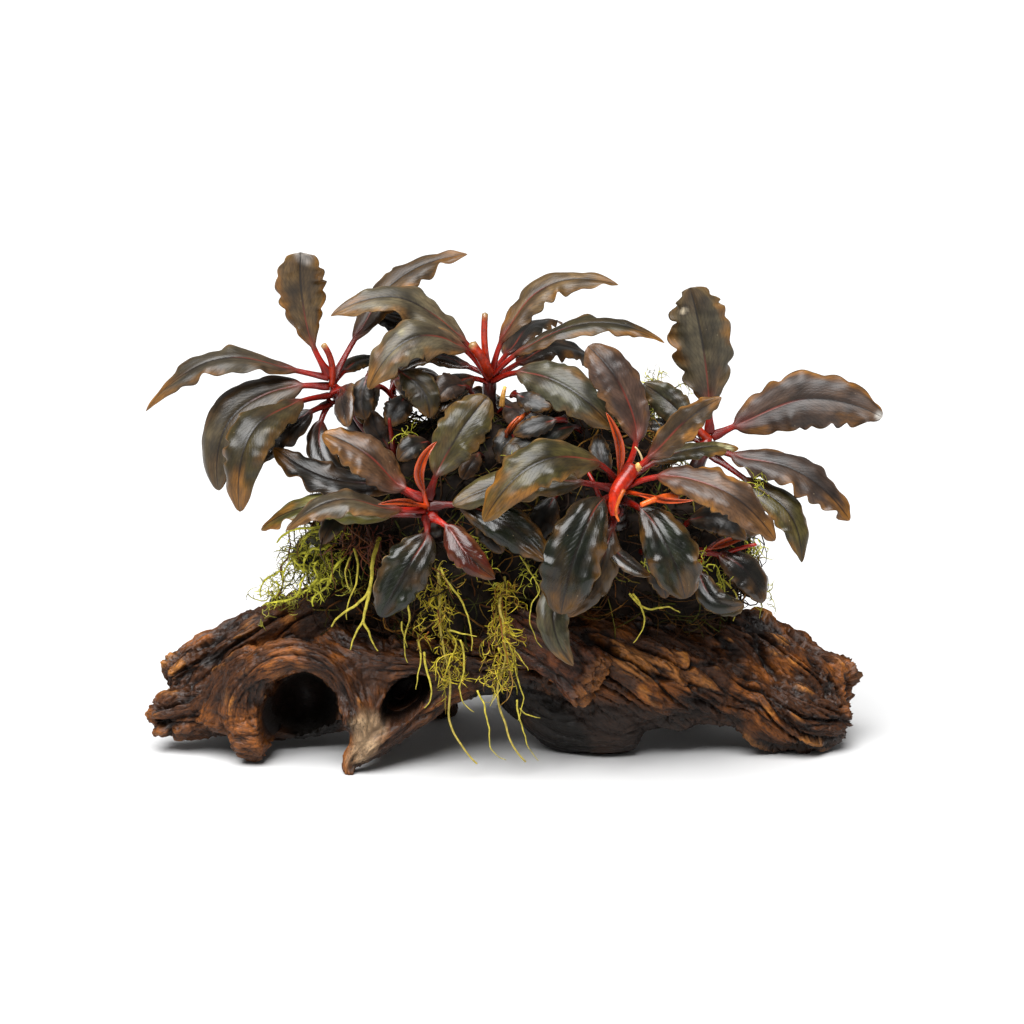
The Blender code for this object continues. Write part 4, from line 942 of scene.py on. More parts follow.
def limb_relief(q, coarse, fine):
    """Height of the weathered grain in straightened space, in millimetres, and how deep in a
    groove the point is. Long cracks, slits and nicks run where stretched noise crosses zero;
    broad lumps, knobs, short steps like broken flakes and fine ribs are added."""
    wavy = q.copy()
    wavy[:, 1:] += 1.5 * waver(q, (15.0, 9.0, 9.0), (11, 12))
    crack = 1.0 - smooth(0.0, 0.20, np.abs(noise(wavy / (34.0, 4.2, 4.2), 21)))
    slit = 1.0 - smooth(0.0, 0.24, np.abs(noise(wavy / (15.0, 1.9, 1.9), 22)))
    slit = slit * smooth(-0.45, 0.25, noise(q / (13.0, 5.0, 5.0), 24))
    nick = 1.0 - smooth(0.0, 0.26, np.abs(noise(wavy / (7.0, 0.95, 0.95), 23)))
    lumps = layered(q / (17.0, 8.0, 8.0), 31, 2)
    knobs = noise(q / (5.0, 3.4, 3.4), 32)
    flake = noise(wavy / (11.0, 3.2, 3.2), 41) * 3.0
    steps = np.floor(flake) + smooth(0.7, 1.0, flake - np.floor(flake))
    ribs = noise(wavy / (9.0, 0.85, 0.85), 51)
    height = coarse * (1.0 * lumps + 0.45 * knobs - 2.1 * crack - 0.9 * slit + 0.6 * (steps - 0.5))
    height = height + fine * (0.20 * ribs - 0.34 * nick)
    groove = np.clip(coarse * (crack + 0.75 * slit) + 0.42 * fine * nick, 0.0, 1.2)
    return height, groove, lumps + 0.5 * knobs


def carve(points, centre, radii, lean, power):
    """Moves what lies inside an ellipse seen from the front back along +Y onto a bowl, whose
    depth at share f of the squared radius is (1 - f)^power."""
    centre, radii = np.array(centre, float), np.array(radii, float)
    q = (points - centre) / radii
    flat = q[:, 0] ** 2 + (q[:, 2] - lean * q[:, 0] * radii[0] / radii[2]) ** 2
    wall = centre[1] + radii[1] * np.clip(1.0 - flat, 0.0, 1.0) ** power
    inside = (flat < 1.0) & (q[:, 1] > -1.0) & (points[:, 1] < wall)
    depth = np.where(inside, wall - points[:, 1], 0.0)
    points = points.copy()
    points[:, 1] += depth
    return points, depth


def wood_tint(points, normals, groove, height, lumps):
    """Colour of the wood: near black in grooves, cracks and carved hollows as painted shade, mid brown
    between, orange-brown on proud places, partly worn colour and partly painted highlight, darker
    on faces that look down as painted shade, with the pale broken spur, the orange flakes on the right
    limb, its spongy dark end, and the stains, dark places and painted shade of the table."""
    patch = layered(points / 15.0, 61, 2)
    spots = noise(points / 4.0, 62)
    rust = smooth(-0.1, 0.75, patch + 0.5 * spots + 0.3 * lumps)
    colour = mixed((0.050, 0.016, 0.004), (0.200, 0.060, 0.008), rust)
    # Orange-brown on proud places: partly worn colour, partly painted highlight.
    proud = smooth(0.1, 1.3, height + 0.4 * spots)
    colour = mixed(colour, (0.38, 0.145, 0.026), proud * 0.8)
    grey = smooth(0.35, 0.9, noise(points / 6.0, 63))
    colour = mixed(colour, (0.034, 0.018, 0.010), grey * 0.5)
    # Painted shade: near black in the grooves, cracks and carved hollows.
    colour = mixed(colour, (0.006, 0.003, 0.002), np.clip(groove * 1.15, 0.0, 0.97))
    # Painted shade: darker on faces that look down.
    under = smooth(0.1, 0.9, -normals[:, 2]) * 0.55
    colour = mixed(colour, (0.012, 0.007, 0.004), under)
    to_spur = near_line(points, ((-39.5, -29, 13.5), (-41.0, -31, 5.5)))
    pale = 1.0 - smooth(2.0, 6.5, to_spur - 1.2 * spots)
    colour = mixed(colour, (0.34, 0.23, 0.13), np.clip(pale * (0.7 + 0.5 * spots), 0.0, 0.9))
    to_flakes = np.minimum(near_line(points, ((36, -19, 40), (44, -20, 35))),
                           near_line(points, ((32, -21, 31), (52, -21, 25))))
    flakes = 1.0 - smooth(2.0, 6.0, to_flakes - spots)
    colour = mixed(colour, (0.34, 0.130, 0.028), flakes * (1.0 - np.clip(groove, 0.0, 1.0)) * 0.75)
    rotten = smooth(95.5, 99.5, points[:, 0] + 1.2 * spots)
    colour = mixed(colour, (0.022, 0.014, 0.010), rotten * 0.8)
    # Stains, and the painted shade of the black cavity and the black belly.
    for line, inner, outer, shade, strength in STAINS_AND_SHADE:
        near = 1.0 - smooth(inner, outer, near_line(points, line))
        colour = mixed(colour, shade, near * strength)
    return colour


def build_plank():
    """The broken square stub. Ring points are a superellipse, half width |cos|^0.55 and half
    thickness |sin|^0.55, carried along the middle line; the far end is cut across, with
    splinters of noise, and closed by shrinking rings."""
    rows, columns, caps, squareness = 90, 88, 9, 0.55
    t = np.linspace(0.0, 1.0, rows)
    line = through(PLANK, t)
    middle, wide, thick = line[:, :3], line[:, 3], line[:, 4]
    ahead = unit(np.gradient(middle, axis=0))
    width_way = np.array([0.55, 0.0, 0.83])
    across = unit(width_way - ahead * dot(width_way, ahead))
    normal = np.cross(ahead, across)
    angle = np.linspace(0.0, 2.0 * np.pi, columns, endpoint=False)
    c, s = np.cos(angle), np.sin(angle)
    c, s = np.sign(c) * np.abs(c) ** squareness, np.sign(s) * np.abs(s) ** squareness
    length = np.linspace(0.0, 45.0, rows)
    shrink = np.concatenate([np.ones(rows), np.linspace(1.0, 0.06, caps + 1)[1:]])
    station = np.minimum(np.arange(rows + caps), rows - 1)
    u = wide[station][:, None] * c * shrink[:, None]
    v = thick[station][:, None] * s * shrink[:, None]
    q = np.stack(np.broadcast_arrays(length[station][:, None] + 700.0, u, v), -1)
    flat = q.reshape(-1, 3)
    height, groove, _ = limb_relief(flat, 0.55, 1.3)
    shaped = shrink[:, None] > 0.99
    height = np.where(shaped, height.reshape(u.shape), 0.0)
    reach = smooth(0.80, 1.0, t)[station][:, None]
    splinter = layered(np.stack([u * 0.0 + 3.0, u / 2.2, v / 2.2], -1), 77, 3)
    out = middle[station][:, None] + ahead[station][:, None] * (reach * 1.9 * splinter)[..., None]
    ring_way = unit(across[station][:, None] * c[:, None] + normal[station][:, None] * s[:, None])
    out = out + across[station][:, None] * u[..., None] + normal[station][:, None] * v[..., None]
    out = out + ring_way * height[..., None]
    ends = np.stack([middle[0], middle[-1] + ahead[-1] * 1.9 * splinter[-1].mean()])
    points = np.concatenate([out.reshape(-1, 3), ends])
    spots = noise(flat / (6.0, 2.0, 2.0), 78)
    proud = smooth(-0.3, 0.7, spots + 0.5 * height.ravel())
    colour = mixed((0.042, 0.013, 0.005), (0.130, 0.036, 0.009), proud)
    # Painted shade: near black in the grooves.
    dark = np.clip(groove, 0.0, 1.0) * 0.9 * shaped.repeat(columns, 1).ravel()
    colour = mixed(colour, (0.006, 0.003, 0.002), dark)
    tip = smooth(0.90, 1.0, t)[station][:, None] * np.ones(columns)
    orange = mixed((0.045, 0.015, 0.005), (0.20, 0.070, 0.012), smooth(-0.4, 0.6, splinter.ravel()))
    colour = mixed(colour, orange, tip.ravel())
    colour = np.concatenate([colour, colour[:1], colour[-1:]])
    grain = np.concatenate([flat, flat[:1], flat[-1:]])
    shape = Shape()
    shape.add(points, ring_quads(rows + caps, columns), pole_triangles(rows + caps, columns),
              tint=colour, grain=grain)
    return shape.mesh("driftwood_plank")


def build_driftwood(settings):
    """The whole log as one skin round all limbs, with relief pushed out along its normals."""
    lines = limb_lines(40)
    shells = Shape()
    for centres, radii, _ in lines.values():
        ring = Shape()
        add_tubes(ring, centres[None], radii[None], 20, np.zeros((1, len(centres), 3)))
        skin = ring.points[0]
        skin[:, 2] = np.maximum(skin[:, 2], 0.0)
        shells.add(skin, ring.quads[0], ring.triangles[0])
    mesh = fused_skin("driftwood_log", shells, settings.voxel / MM, settings.blending, 2)
    points, normals = corners_of(mesh)
    points, depth = carve(points, *POCKET)
    points, hollow = carve(points, *CAVITY)
    total, strongest, height, groove, lumps = np.zeros((5, len(points)))
    grain = np.zeros((len(points), 3))
    for name, (use, weight, q) in grain_at(points, lines).items():
        h, g, l = limb_relief(q, *ROUGH[name])
        total[use] += weight
        height[use] += weight * h
        groove[use] += weight * g
        lumps[use] += weight * l
        wins = weight > strongest[use]
        strongest[use[wins]] = weight[wins]
        grain[use[wins]] = q[wins]
    total = np.maximum(total, 1e-6)
    height, groove, lumps = height / total, groove / total, lumps / total
    wavy = points + 1.2 * waver(points, 7.0, (71, 72, 73))
    for deep, width, line in CRACKS:
        close = np.exp(-(near_line(wavy, line) / width) ** 2)
        height -= deep * close
        groove = np.maximum(groove, 1.1 * close)
    rotten = smooth(93.0, 98.0, points[:, 0])
    pits = np.abs(noise(points / (5.0, 2.4, 2.4), 74)) + 0.6 * np.abs(noise(points / (2.6, 1.3, 1.3), 75))
    height -= rotten * 2.2 * (1.0 - smooth(0.0, 0.6, pits))
    height *= settings.relief
    inside = np.maximum(smooth(0.8, 3.0, depth), smooth(1.0, 9.0, hollow))
    buried = smooth(-3.5, -1.0, blob_field(points, MAT)[0])
    height *= buried
    height *= 1.0 - inside
    # Painted shade: inside the pocket and the cavity the groove value rises with depth, and the tint turns it
    # near black.
    groove = np.maximum(groove, inside * 1.2)
    points += normals * height[:, None]
    points[:, 2] = np.maximum(points[:, 2], 0.0)
    set_corners(mesh, points)
    paint(mesh, "tint", wood_tint(points, normals, groove, height, lumps))
    paint(mesh, "grain", grain)
    return thinned("driftwood_log", mesh, settings.triangles)


# Leaves

def leaf_line(origin, row, fuse):
    """Base, neck, crest and tip of a leaf, their times, the hint that sets its width across,
    the crown's point that the petiole comes out of, and the length."""
    rise, neck, crest, tip, _, turn, _ = row
    centre = np.array(origin, float) + (0.0, 0.0, rise)
    neck, crest, tip = (np.array(p, float) for p in (neck, crest, tip))
    base = centre + unit(neck - centre) * (0.0 if fuse else STEM_R + 0.55)
    points = np.stack([base, neck, crest, tip])
    steps = np.linalg.norm(np.diff(points, axis=0), axis=1)
    times = np.concatenate([[0.0], np.cumsum(steps)]) / steps.sum()
    chord = unit(tip - base)
    up = np.cross(VIEW, chord)
    up = unit(up if up[2] >= 0.0 else -up)
    angle = math.radians(turn)
    hint = np.cross(chord, up * math.cos(angle) - VIEW * math.sin(angle))
    return points, times, hint, centre, steps.sum()


def add_leaf(shape, name, origin, row, fuse, look, settings, fold=0.0):
    """A leaf as a closed skin: an oval ring carried along the centre line. At share a of the
    blade and side c = cos(angle), the ring point is c times the half width across, times the
    margin's bumps 1 + h |sin(n a)| near |c| = 1. Along the normal it is the droop -0.12 |c|,
    the arch sin(pi |c|) of each half, waves |c|^2.6 sin(m a), the groove at c = 0, the pleats
    cos(3 pi c), and sin(angle) times half the thickness."""
    seed = seed_of(name)
    rng = np.random.default_rng(seed)
    tone, margin, tip_amber, wave, pleat, rough, red = look
    points, times, hint, centre, length = leaf_line(origin, row, fuse)
    width, outline = row[4], row[6]
    share = 1.0 if not fuse else 0.6
    rows, columns = int(settings.rows * share), int(settings.columns * share) // 4 * 4
    t = np.linspace(-0.045, 1.0, rows)
    t[-6:] = 1.0 - (1.0 - t[-6]) * np.linspace(1.0, 0.0, 6) ** 1.4
    line = through(points, np.clip(t, 0.0, 1.0), times)
    before = np.clip(-t / 0.045, 0.0, 1.0)[:, None]
    line = line * (1.0 - before * 0.75) + centre * before * 0.75
    ahead = unit(np.gradient(line, axis=0))
    across = unit(hint - ahead * dot(ahead, hint))
    normal = np.cross(across, ahead)
    start = 0.8 * times[1]
    a = np.clip((t - start) / (1.0 - start), 0.0, 1.0)
    k, p = OUTLINES[outline]
    body = width / 2.0 * np.sin(np.pi * np.clip(a ** k, 0.0, 1.0)) ** (p * 0.78)
    slim = PETIOLE_HALF * (1.0 + 0.9 * np.exp(-np.maximum(t, 0.0) / 0.05))
    half = np.maximum(body, slim * (1.0 - a) ** 0.5)
    half[-1] = 0.15 * half[-2]
    thick = settings.thickness / MM / 2.0
    thick = 0.72 * (1.0 - smooth(0.0, 0.14, a)) + thick * smooth(0.0, 0.14, a)
    thick = thick * (1.0 - 0.6 * smooth(0.96, 1.0, a))
    angle = np.linspace(0.0, 2.0 * np.pi, columns, endpoint=False)
    angle = angle + 0.33 * np.sin(2.0 * angle)
    c, s = np.cos(angle)[None], np.sin(angle)[None]
    size, sign = np.abs(c), np.sign(c)
    tt, aa, hh = t[:, None], a[:, None], half[:, None]

    def wobble(pace_a, pace_c, extra, layers=1):
        """Noise over the blade, its own for each leaf."""
        grid = np.broadcast_arrays(aa * pace_a, c * pace_c, seed % 97 + 11.0 * extra)
        return layered(np.stack(grid, -1), 40 + extra, layers)

    on = smooth(0.02, 0.20, aa) * (1.0 - smooth(0.93, 1.0, aa))
    little = min(1.0, (width / 11.0) ** 2)
    bumps = rng.uniform(4.6, 6.6) + 0.8 * sign * rng.random()
    run = np.pi * (bumps * aa + 0.35 * sign) + 1.3 * wobble(4.0, 1.0, 1)
    uneven = np.clip(0.8 + 0.8 * wobble(4.0, 1.6, 2), 0.25, 1.5)
    round_bump = np.sqrt(np.sin(run) ** 2 + 0.02) - 0.60
    edge = 1.0 + 0.22 * wave * uneven * on * round_bump * size ** 5
    for at, side, wide, deep in NOTCHES.get(name, ()):
        bite = np.exp(-((aa - at) / wide) ** 2) * (sign == side)
        edge = edge - deep * bite * size ** 3
    turn = 2.0 * np.pi * rng.uniform(2.4, 3.6) * aa + 2.0 * sign * rng.random() + 1.5 * wobble(3.0, 1.2, 3)
    flutter = 0.62 * np.sin(turn) + 0.35 * np.sin(2.3 * turn + 1.0)
    ripple = (flutter * size ** 2.4 - 1.05 * round_bump * size ** 4) * np.minimum(1.0, hh / 3.5)
    ripple = 1.3 * little * settings.waviness * wave * on * uneven * ripple
    blade = smooth(0.0, 0.1, aa)
    droop = -EDGE_DROP * hh * size * blade
    arch = 0.13 * hh * np.sin(np.pi * size) * blade
    groove = -0.38 * little * np.exp(-(c * hh / 0.6) ** 2) * blade * (1.0 - 0.5 * aa)
    pleats = little * pleat * (np.cos(size * np.pi * 3.0 + 0.5 * wobble(2.0, 1.0, 4)) - 0.3) * on
    sway = 0.55 * little * on * wobble(2.4, 0.8, 5)
    rib = np.where(s < 0.0, 0.40 * np.exp(-(c * hh / 0.55) ** 2) * blade * (1.0 - aa) ** 0.6, 0.0)
    lift = droop + arch + ripple + groove + pleats + sway + fold * hh * size * blade
    marks = MARKS.get(name, ())
    near = [np.hypot((aa - at) * length * (1.0 - start), (c - side) * hh) / reach
            for at, side, reach, _ in marks]
    for gap in near:
        lift = lift - 0.22 * np.exp(-gap ** 4)
    lift = lift + s * (thick[:, None] + rib)
    skin = line[:, None] + across[:, None] * (c * hh * edge * (1.0 - 0.3 * fold))[..., None]
    skin = skin + normal[:, None] * lift[..., None]
    vertices = np.concatenate([skin.reshape(-1, 3), [line[0], line[-1]]])

    upper = smooth(-0.25, 0.25, s + 0.0 * aa)
    cloud = wobble(5.0, 1.4, 6, 3)
    patch = wobble(3.2, 1.5, 7, 2)
    amber = np.array(settings.margin_colour)
    colour = np.array(TONES[tone]) * rng.uniform(0.9, 1.12) * (1.0 + 0.35 * cloud[..., None])
    colour = mixed(colour, (0.070, 0.034, 0.013), np.clip(0.55 * patch + 0.05, 0.0, 0.5) * upper)
    shadowed = smooth(-0.5, 0.5, wobble(3.6, 1.2, 9, 2)) * (1.0 - size ** 2)
    colour = colour * (1.0 - 0.6 * shadowed)[..., None]
    colour = mixed(colour, (0.060, 0.018, 0.011), 0.50 * red * (1.0 - smooth(0.0, 0.40, aa)) + 0.0 * c)
    # Amber band on the margins and at the tip: partly the leaf's own colour, partly painted glow of light
    # through the thin edge.
    band = smooth(0.0, 0.30, size - 0.72 + 0.50 * patch) * np.clip(0.65 + 1.1 * cloud, 0.15, 1.0)
    colour = mixed(colour, amber, np.clip(band * margin * blade, 0.0, 0.92))
    point = smooth(0.74, 0.96, aa + 0.10 * patch) * np.clip(0.8 + 0.6 * cloud, 0.3, 1.0)
    colour = mixed(colour, amber, np.clip(point * tip_amber * 0.85, 0.0, 0.85))
    colour = mixed(colour, (0.085, 0.038, 0.015), (1.0 - upper) * 0.7)
    # Painted highlight: a thin light line along the edge, in places.
    rim = smooth(0.96, 1.0, size + 0.0 * aa) * blade
    colour = mixed(colour, (0.34, 0.22, 0.09), rim * np.clip(0.22 + 1.3 * wobble(6.0, 0.8, 8), 0.0, 0.75))
    reddish = 1.0 - smooth(0.10 + 0.25 * red, 0.25 + 0.40 * red, aa) + 0.0 * c
    flush = np.clip(1.0 - aa / (0.06 + 0.16 * red), 0.0, 1.0) * np.exp(-(c * hh / 1.6) ** 2)
    colour = mixed(colour, (0.14, 0.011, 0.005), flush * min(0.8, 2.0 * red))
    for gap, (_, _, _, shade) in zip(near, marks):
        colour = mixed(colour, np.array(shade) * (1.0 + 0.4 * cloud[..., None]), np.exp(-gap ** 4) * upper)
    stalk = 1.0 - smooth(start * 0.80, start * 1.10, tt + 0.0 * c)
    stem = np.array(settings.petiole_colour) * rng.uniform(0.7, 1.2) * min(1.5, 0.2 + 1.5 * red)
    stem = mixed(stem * 0.45, stem, smooth(0.0, 0.10, tt))
    colour = mixed(colour, stem * (1.0 + 0.30 * cloud[..., None]), stalk)
    reddish = np.where(stalk > 0.5, 2.0, reddish)
    colour = np.concatenate([np.clip(colour, 0.0, 1.0), reddish[..., None]], 2)
    tint = np.concatenate([colour.reshape(-1, 4), colour[0, :1], colour[-1, :1]])
    gloss = rough - 0.10 * stalk + 0.06 * cloud + 0.05 * band
    gloss = np.concatenate([gloss.reshape(-1), [0.3, 0.4]])
    spot = np.stack(np.broadcast_arrays(tt * length, c * width / 2.0, s + seed % 31 * 3.0), -1)
    spot = np.concatenate([spot.reshape(-1, 3), spot[0, :1], spot[-1, :1]])
    shape.add(vertices, ring_quads(rows, columns), pole_triangles(rows, columns),
              tint=tint, gloss=gloss, blade=spot)


def seed_of(name):
    return sum((i + 3) * ord(letter) for i, letter in enumerate(name)) % 9973


# Strands

def wander(starts, headings, steps, pace, curl, pull, rng, keep=None):
    """Paths of equal steps. Each heading is the last one plus random curl and the pull, made
    one long; keep, if given, nudges the heading back to a body."""
    paths = np.empty((len(starts), steps, 3))
    here, ahead = starts.copy(), unit(headings)
    drift = rng.normal(size=starts.shape)
    for k in range(steps):
        paths[:, k] = here
        drift = 0.75 * drift + 0.65 * rng.normal(size=starts.shape)
        ahead = unit(ahead + curl * drift + np.asarray(pull) + (0.0 if keep is None else keep(here)))
        here = here + ahead * np.asarray(pace).reshape(-1, 1)
    return paths


def blob_field(points, blobs):
    """Height over the nearest ellipsoid, roughly in millimetres, and the way out of it."""
    best = np.full(len(points), 1e9)
    out = np.zeros_like(points)
    for centre, radii in blobs:
        radii = np.array(radii, float)
        q = (points - centre) / radii
        size = np.maximum(np.linalg.norm(q, axis=1), 1e-6)
        height = (size - 1.0) * radii.min()
        closer = height < best
        best[closer] = height[closer]
        out[closer] = unit(q / radii)[closer]
    return best, out


def on_blobs(blobs, count, rng):
    """Random points on the outside of a union of ellipsoids, and the way out at each."""
    sizes = np.array([np.prod(r) ** (2.0 / 3.0) for _, r in blobs])
    which = rng.choice(len(blobs), count * 3, p=sizes / sizes.sum())
    ways = unit(rng.normal(size=(count * 3, 3)))
    centres = np.array([b[0] for b in blobs], float)[which]
    radii = np.array([b[1] for b in blobs], float)[which]
    points = centres + ways * radii
    height, out = blob_field(points, blobs)
    keep = np.flatnonzero(height > -0.4)[:count]
    return points[keep], out[keep]


def palette(colours, count, rng, spread=0.25):
    """One colour per strand, mixed between two neighbours of a list, and made lighter or darker."""
    colours = np.array(colours, float)
    k = rng.uniform(0, len(colours) - 1, count)
    i = np.minimum(k.astype(int), len(colours) - 2)
    base = colours[i] * (1 - (k - i))[:, None] + colours[i + 1] * (k - i)[:, None]
    return base * rng.uniform(1 - spread, 1 + spread, (count, 1))


def add_strands(shape, paths, thick, sides, colours, tip=1.15):
    """Tapered tubes: full radius at the root, a third at the tip, a little brighter there."""
    steps = paths.shape[1]
    fall = np.linspace(0.0, 1.0, steps)
    radii = np.asarray(thick).reshape(-1, 1) * (1.0 - 0.67 * fall ** 1.5)[None]
    tint = colours[:, None] * (1.0 + (tip - 1.0) * fall)[None, :, None]
    add_tubes(shape, paths, radii, sides, tint)


def add_hairs(shape, paths, count, rng, pace, shades):
    """Short thin side hairs that leave random places on the paths given."""
    which = rng.integers(0, len(paths), count)
    step = rng.integers(1, paths.shape[1] - 1, count)
    starts = paths[which, step]
    along = paths[which, step + 1] - starts
    headings = unit(along) + 0.9 * rng.normal(size=along.shape)
    hairs = wander(starts, headings, 7, pace * rng.uniform(0.5, 1.5, count), 0.4, (0.0, 0.0, -0.05), rng)
    hairs[:, :, 2] = np.maximum(hairs[:, :, 2], 0.6)
    add_strands(shape, hairs, rng.uniform(0.09, 0.18, count), 3, palette(shades, count, rng))


def blob_skin(name, blobs, voxel, rough, seed, low, high):
    """A lumpy skin round ellipsoids, with a tint that is darker in its hollows as painted shade."""
    shells = Shape()
    for centre, radii in blobs:
        t = np.linspace(-1.0, 1.0, 14)[1:-1]
        angle = np.linspace(0.0, 2.0 * np.pi, 20, endpoint=False)
        level = np.sin(t * np.pi / 2)
        flat = np.sqrt(1.0 - level ** 2)
        ring = np.stack(np.broadcast_arrays(flat[:, None] * np.cos(angle), flat[:, None] * np.sin(angle),
                                            level[:, None]), -1).reshape(-1, 3)
        points = np.concatenate([ring, [(0, 0, -1)], [(0, 0, 1)]]) * radii + centre
        shells.add(points, ring_quads(12, 20), pole_triangles(12, 20))
    mesh = fused_skin(name, shells, voxel, 3, 0)
    points, normals = corners_of(mesh)
    bumps = layered(points / 6.0, seed, 3)
    points = points + normals * (rough * bumps)[:, None]
    set_corners(mesh, points)
    # Painted shade: the tint darkens where the bumps sink.
    paint(mesh, "tint", mixed(low, high, smooth(-0.4, 0.9, bumps)))
    return mesh


# Settings

def length_of(name, text, value, low=0.0):
    """A setting that is a length in metres."""
    return bpy.props.FloatProperty(name=name, description=text, default=value, min=low,
                                   subtype="DISTANCE", unit="LENGTH")


def colour_of(name, text, value):
    """A setting that is a linear colour."""
    return bpy.props.FloatVectorProperty(name=name, description=text, default=value,
                                         size=3, subtype="COLOR")


class PlantWoodSettings(bpy.types.PropertyGroup):
    """Sizes and wetness of the driftwood."""

    voxel: length_of("Voxel", "Cell size that joins the limbs", 1.3 * MM, 0.5 * MM)
    blending: bpy.props.IntProperty(
        name="Blending", description="Smoothing passes where limbs meet", default=5, min=0)
    triangles: bpy.props.IntProperty(
        name="Triangles", description="Triangles kept in the log", default=190000, min=1000)
    relief: bpy.props.FloatProperty(
        name="Relief", description="Depth of the carved grain", default=1.0, min=0.0, subtype="FACTOR")
    fine_grain: length_of("Fine grain", "Depth of the finest grain", 0.5 * MM)
    wetness_low: bpy.props.FloatProperty(
        name="Wet roughness", description="Roughness of the wet streaks", default=0.24, min=0.0, max=1.0)
    wetness_high: bpy.props.FloatProperty(
        name="Dry roughness", description="Roughness of the dry streaks", default=0.56, min=0.0, max=1.0)


class PlantLeafSettings(bpy.types.PropertyGroup):
    """Sizes and colours of the leaves, petioles and crowns."""

    rows: bpy.props.IntProperty(name="Rows", description="Stations along a leaf", default=84, min=12)
    columns: bpy.props.IntProperty(name="Columns", description="Points round a leaf", default=36, min=8)
    thickness: length_of("Thickness", "Thickness of a blade", 0.4 * MM, 0.1 * MM)
    waviness: bpy.props.FloatProperty(
        name="Waviness", description="Height of the margin's waves against the leaf's own",
        default=1.0, min=0.0)
    # Margin colour: partly the leaf's own, partly painted glow of light through the thin edge.
    margin_colour: colour_of("Margin", "Colour of the margins and tips", (0.22, 0.088, 0.009))
    petiole_colour: colour_of("Petiole", "Colour of the petioles", (0.27, 0.009, 0.003))
    spear_colour: colour_of("New leaf", "Colour of rolled new leaves", (0.55, 0.065, 0.007))


class PlantStrandSettings(bpy.types.PropertyGroup):
    """Amounts and colours of the fibres, moss and roots."""

    mat_fibres: bpy.props.IntProperty(name="Mat fibres", description="Fibres on the root mat", default=2200)
    moss_strands: bpy.props.IntProperty(name="Moss strands", description="Strands in a tuft", default=260)
    root_strands: bpy.props.IntProperty(name="Root strands", description="Strands in a bundle", default=60)
    moss_colour: colour_of("Moss", "Colour of the moss", (0.42, 0.40, 0.034))
    root_colour: colour_of("Roots", "Colour of the hanging roots", (0.52, 0.42, 0.020))
    # Near black: partly the mat's own colour, partly painted shade.
    mat_colour: colour_of("Mat", "Colour of the root mat", (0.018, 0.010, 0.006))


class PlantStageSettings(bpy.types.PropertyGroup):
    """Floor and light of the stage."""

    floor_size: length_of("Floor", "Side of the floor", 60.0)
    sky: bpy.props.FloatProperty(name="Sky", description="Strength of the white sky", default=0.24, min=0.0)
    key: bpy.props.FloatProperty(
        name="Key", description="Strength of the large soft lamp", default=6.6, min=0.0)
    key_size: bpy.props.FloatProperty(
        name="Key size", description="Angle that the lamp covers, degrees", default=52.0, min=0.0, max=180.0)
    floor_grey: bpy.props.FloatProperty(
        name="Floor grey", description="How light the floor is", default=0.60, min=0.0, max=1.0)
    lift: bpy.props.FloatProperty(
        name="Camera lift", description="Degrees that the camera looks down", default=12.0)
    distance: length_of("Distance", "From the camera to the middle of the object", 0.796)
    aim: length_of("Aim", "Height of the point looked at", 0.068)


# Operators

class PLANT_OT_driftwood(bpy.types.Operator):
    """Build the driftwood log."""

    bl_idname = "plant.driftwood"
    bl_label = "Driftwood"

    def execute(self, context):
        settings = context.scene.plant_wood
        material = wood_material(settings, fibre_group())
        place("driftwood_log", build_driftwood(settings), material, WOOD_NODES[:4])
        place("driftwood_plank", build_plank(), material, WOOD_NODES[4:])
        return {"FINISHED"}


class PLANT_OT_root_mat(bpy.types.Operator):
    """Build the dark root mat with its fibres."""

    bl_idname = "plant.root_mat"
    bl_label = "Root mat"

    def execute(self, context):
        settings = context.scene.plant_strands
        material = strand_material("mat_fibre", 0.7, 0.12)
        # The near black mat core and its darkest fibres are partly the roots' own colour and partly painted
        # shade of the shadowed mass under the leaves.
        dark = np.array(settings.mat_colour)
        skin = blob_skin("root_mat_core", MAT, 1.7, 2.2, 81, dark * 0.2, dark * 0.9)
        place("root_mat_core", skin, material, ("root_mat",))
        rng = np.random.default_rng(5)
        starts, out = on_blobs(MAT, settings.mat_fibres, rng)
        headings = unit(np.cross(out, rng.normal(size=out.shape)) + 0.10 * out)

        def keep(points):
            height, way = blob_field(points, MAT)
            return -way * np.clip(0.30 * (height - 0.5), -0.5, 1.0)[:, None]

        paths = wander(starts - 0.5 * out, headings, 9, rng.uniform(1.2, 3.2, len(starts)), 0.34,
                       (0.0, 0.0, -0.08), rng, keep)
        shades = [(0.008, 0.004, 0.002), (0.030, 0.012, 0.004), (0.012, 0.009, 0.003), (0.09, 0.030, 0.006),
                  (0.010, 0.007, 0.003), (0.045, 0.050, 0.006), (0.008, 0.005, 0.002), (0.012, 0.006, 0.003),
                  (0.16, 0.07, 0.012), (0.12, 0.12, 0.02)]
        colours = palette(shades, len(starts), rng, 0.4)
        shape = Shape()
        add_strands(shape, paths, rng.uniform(0.10, 0.36, len(starts)), 4, colours)
        place("root_mat_fibres", shape.mesh("root_mat_fibres"), material)
        return {"FINISHED"}


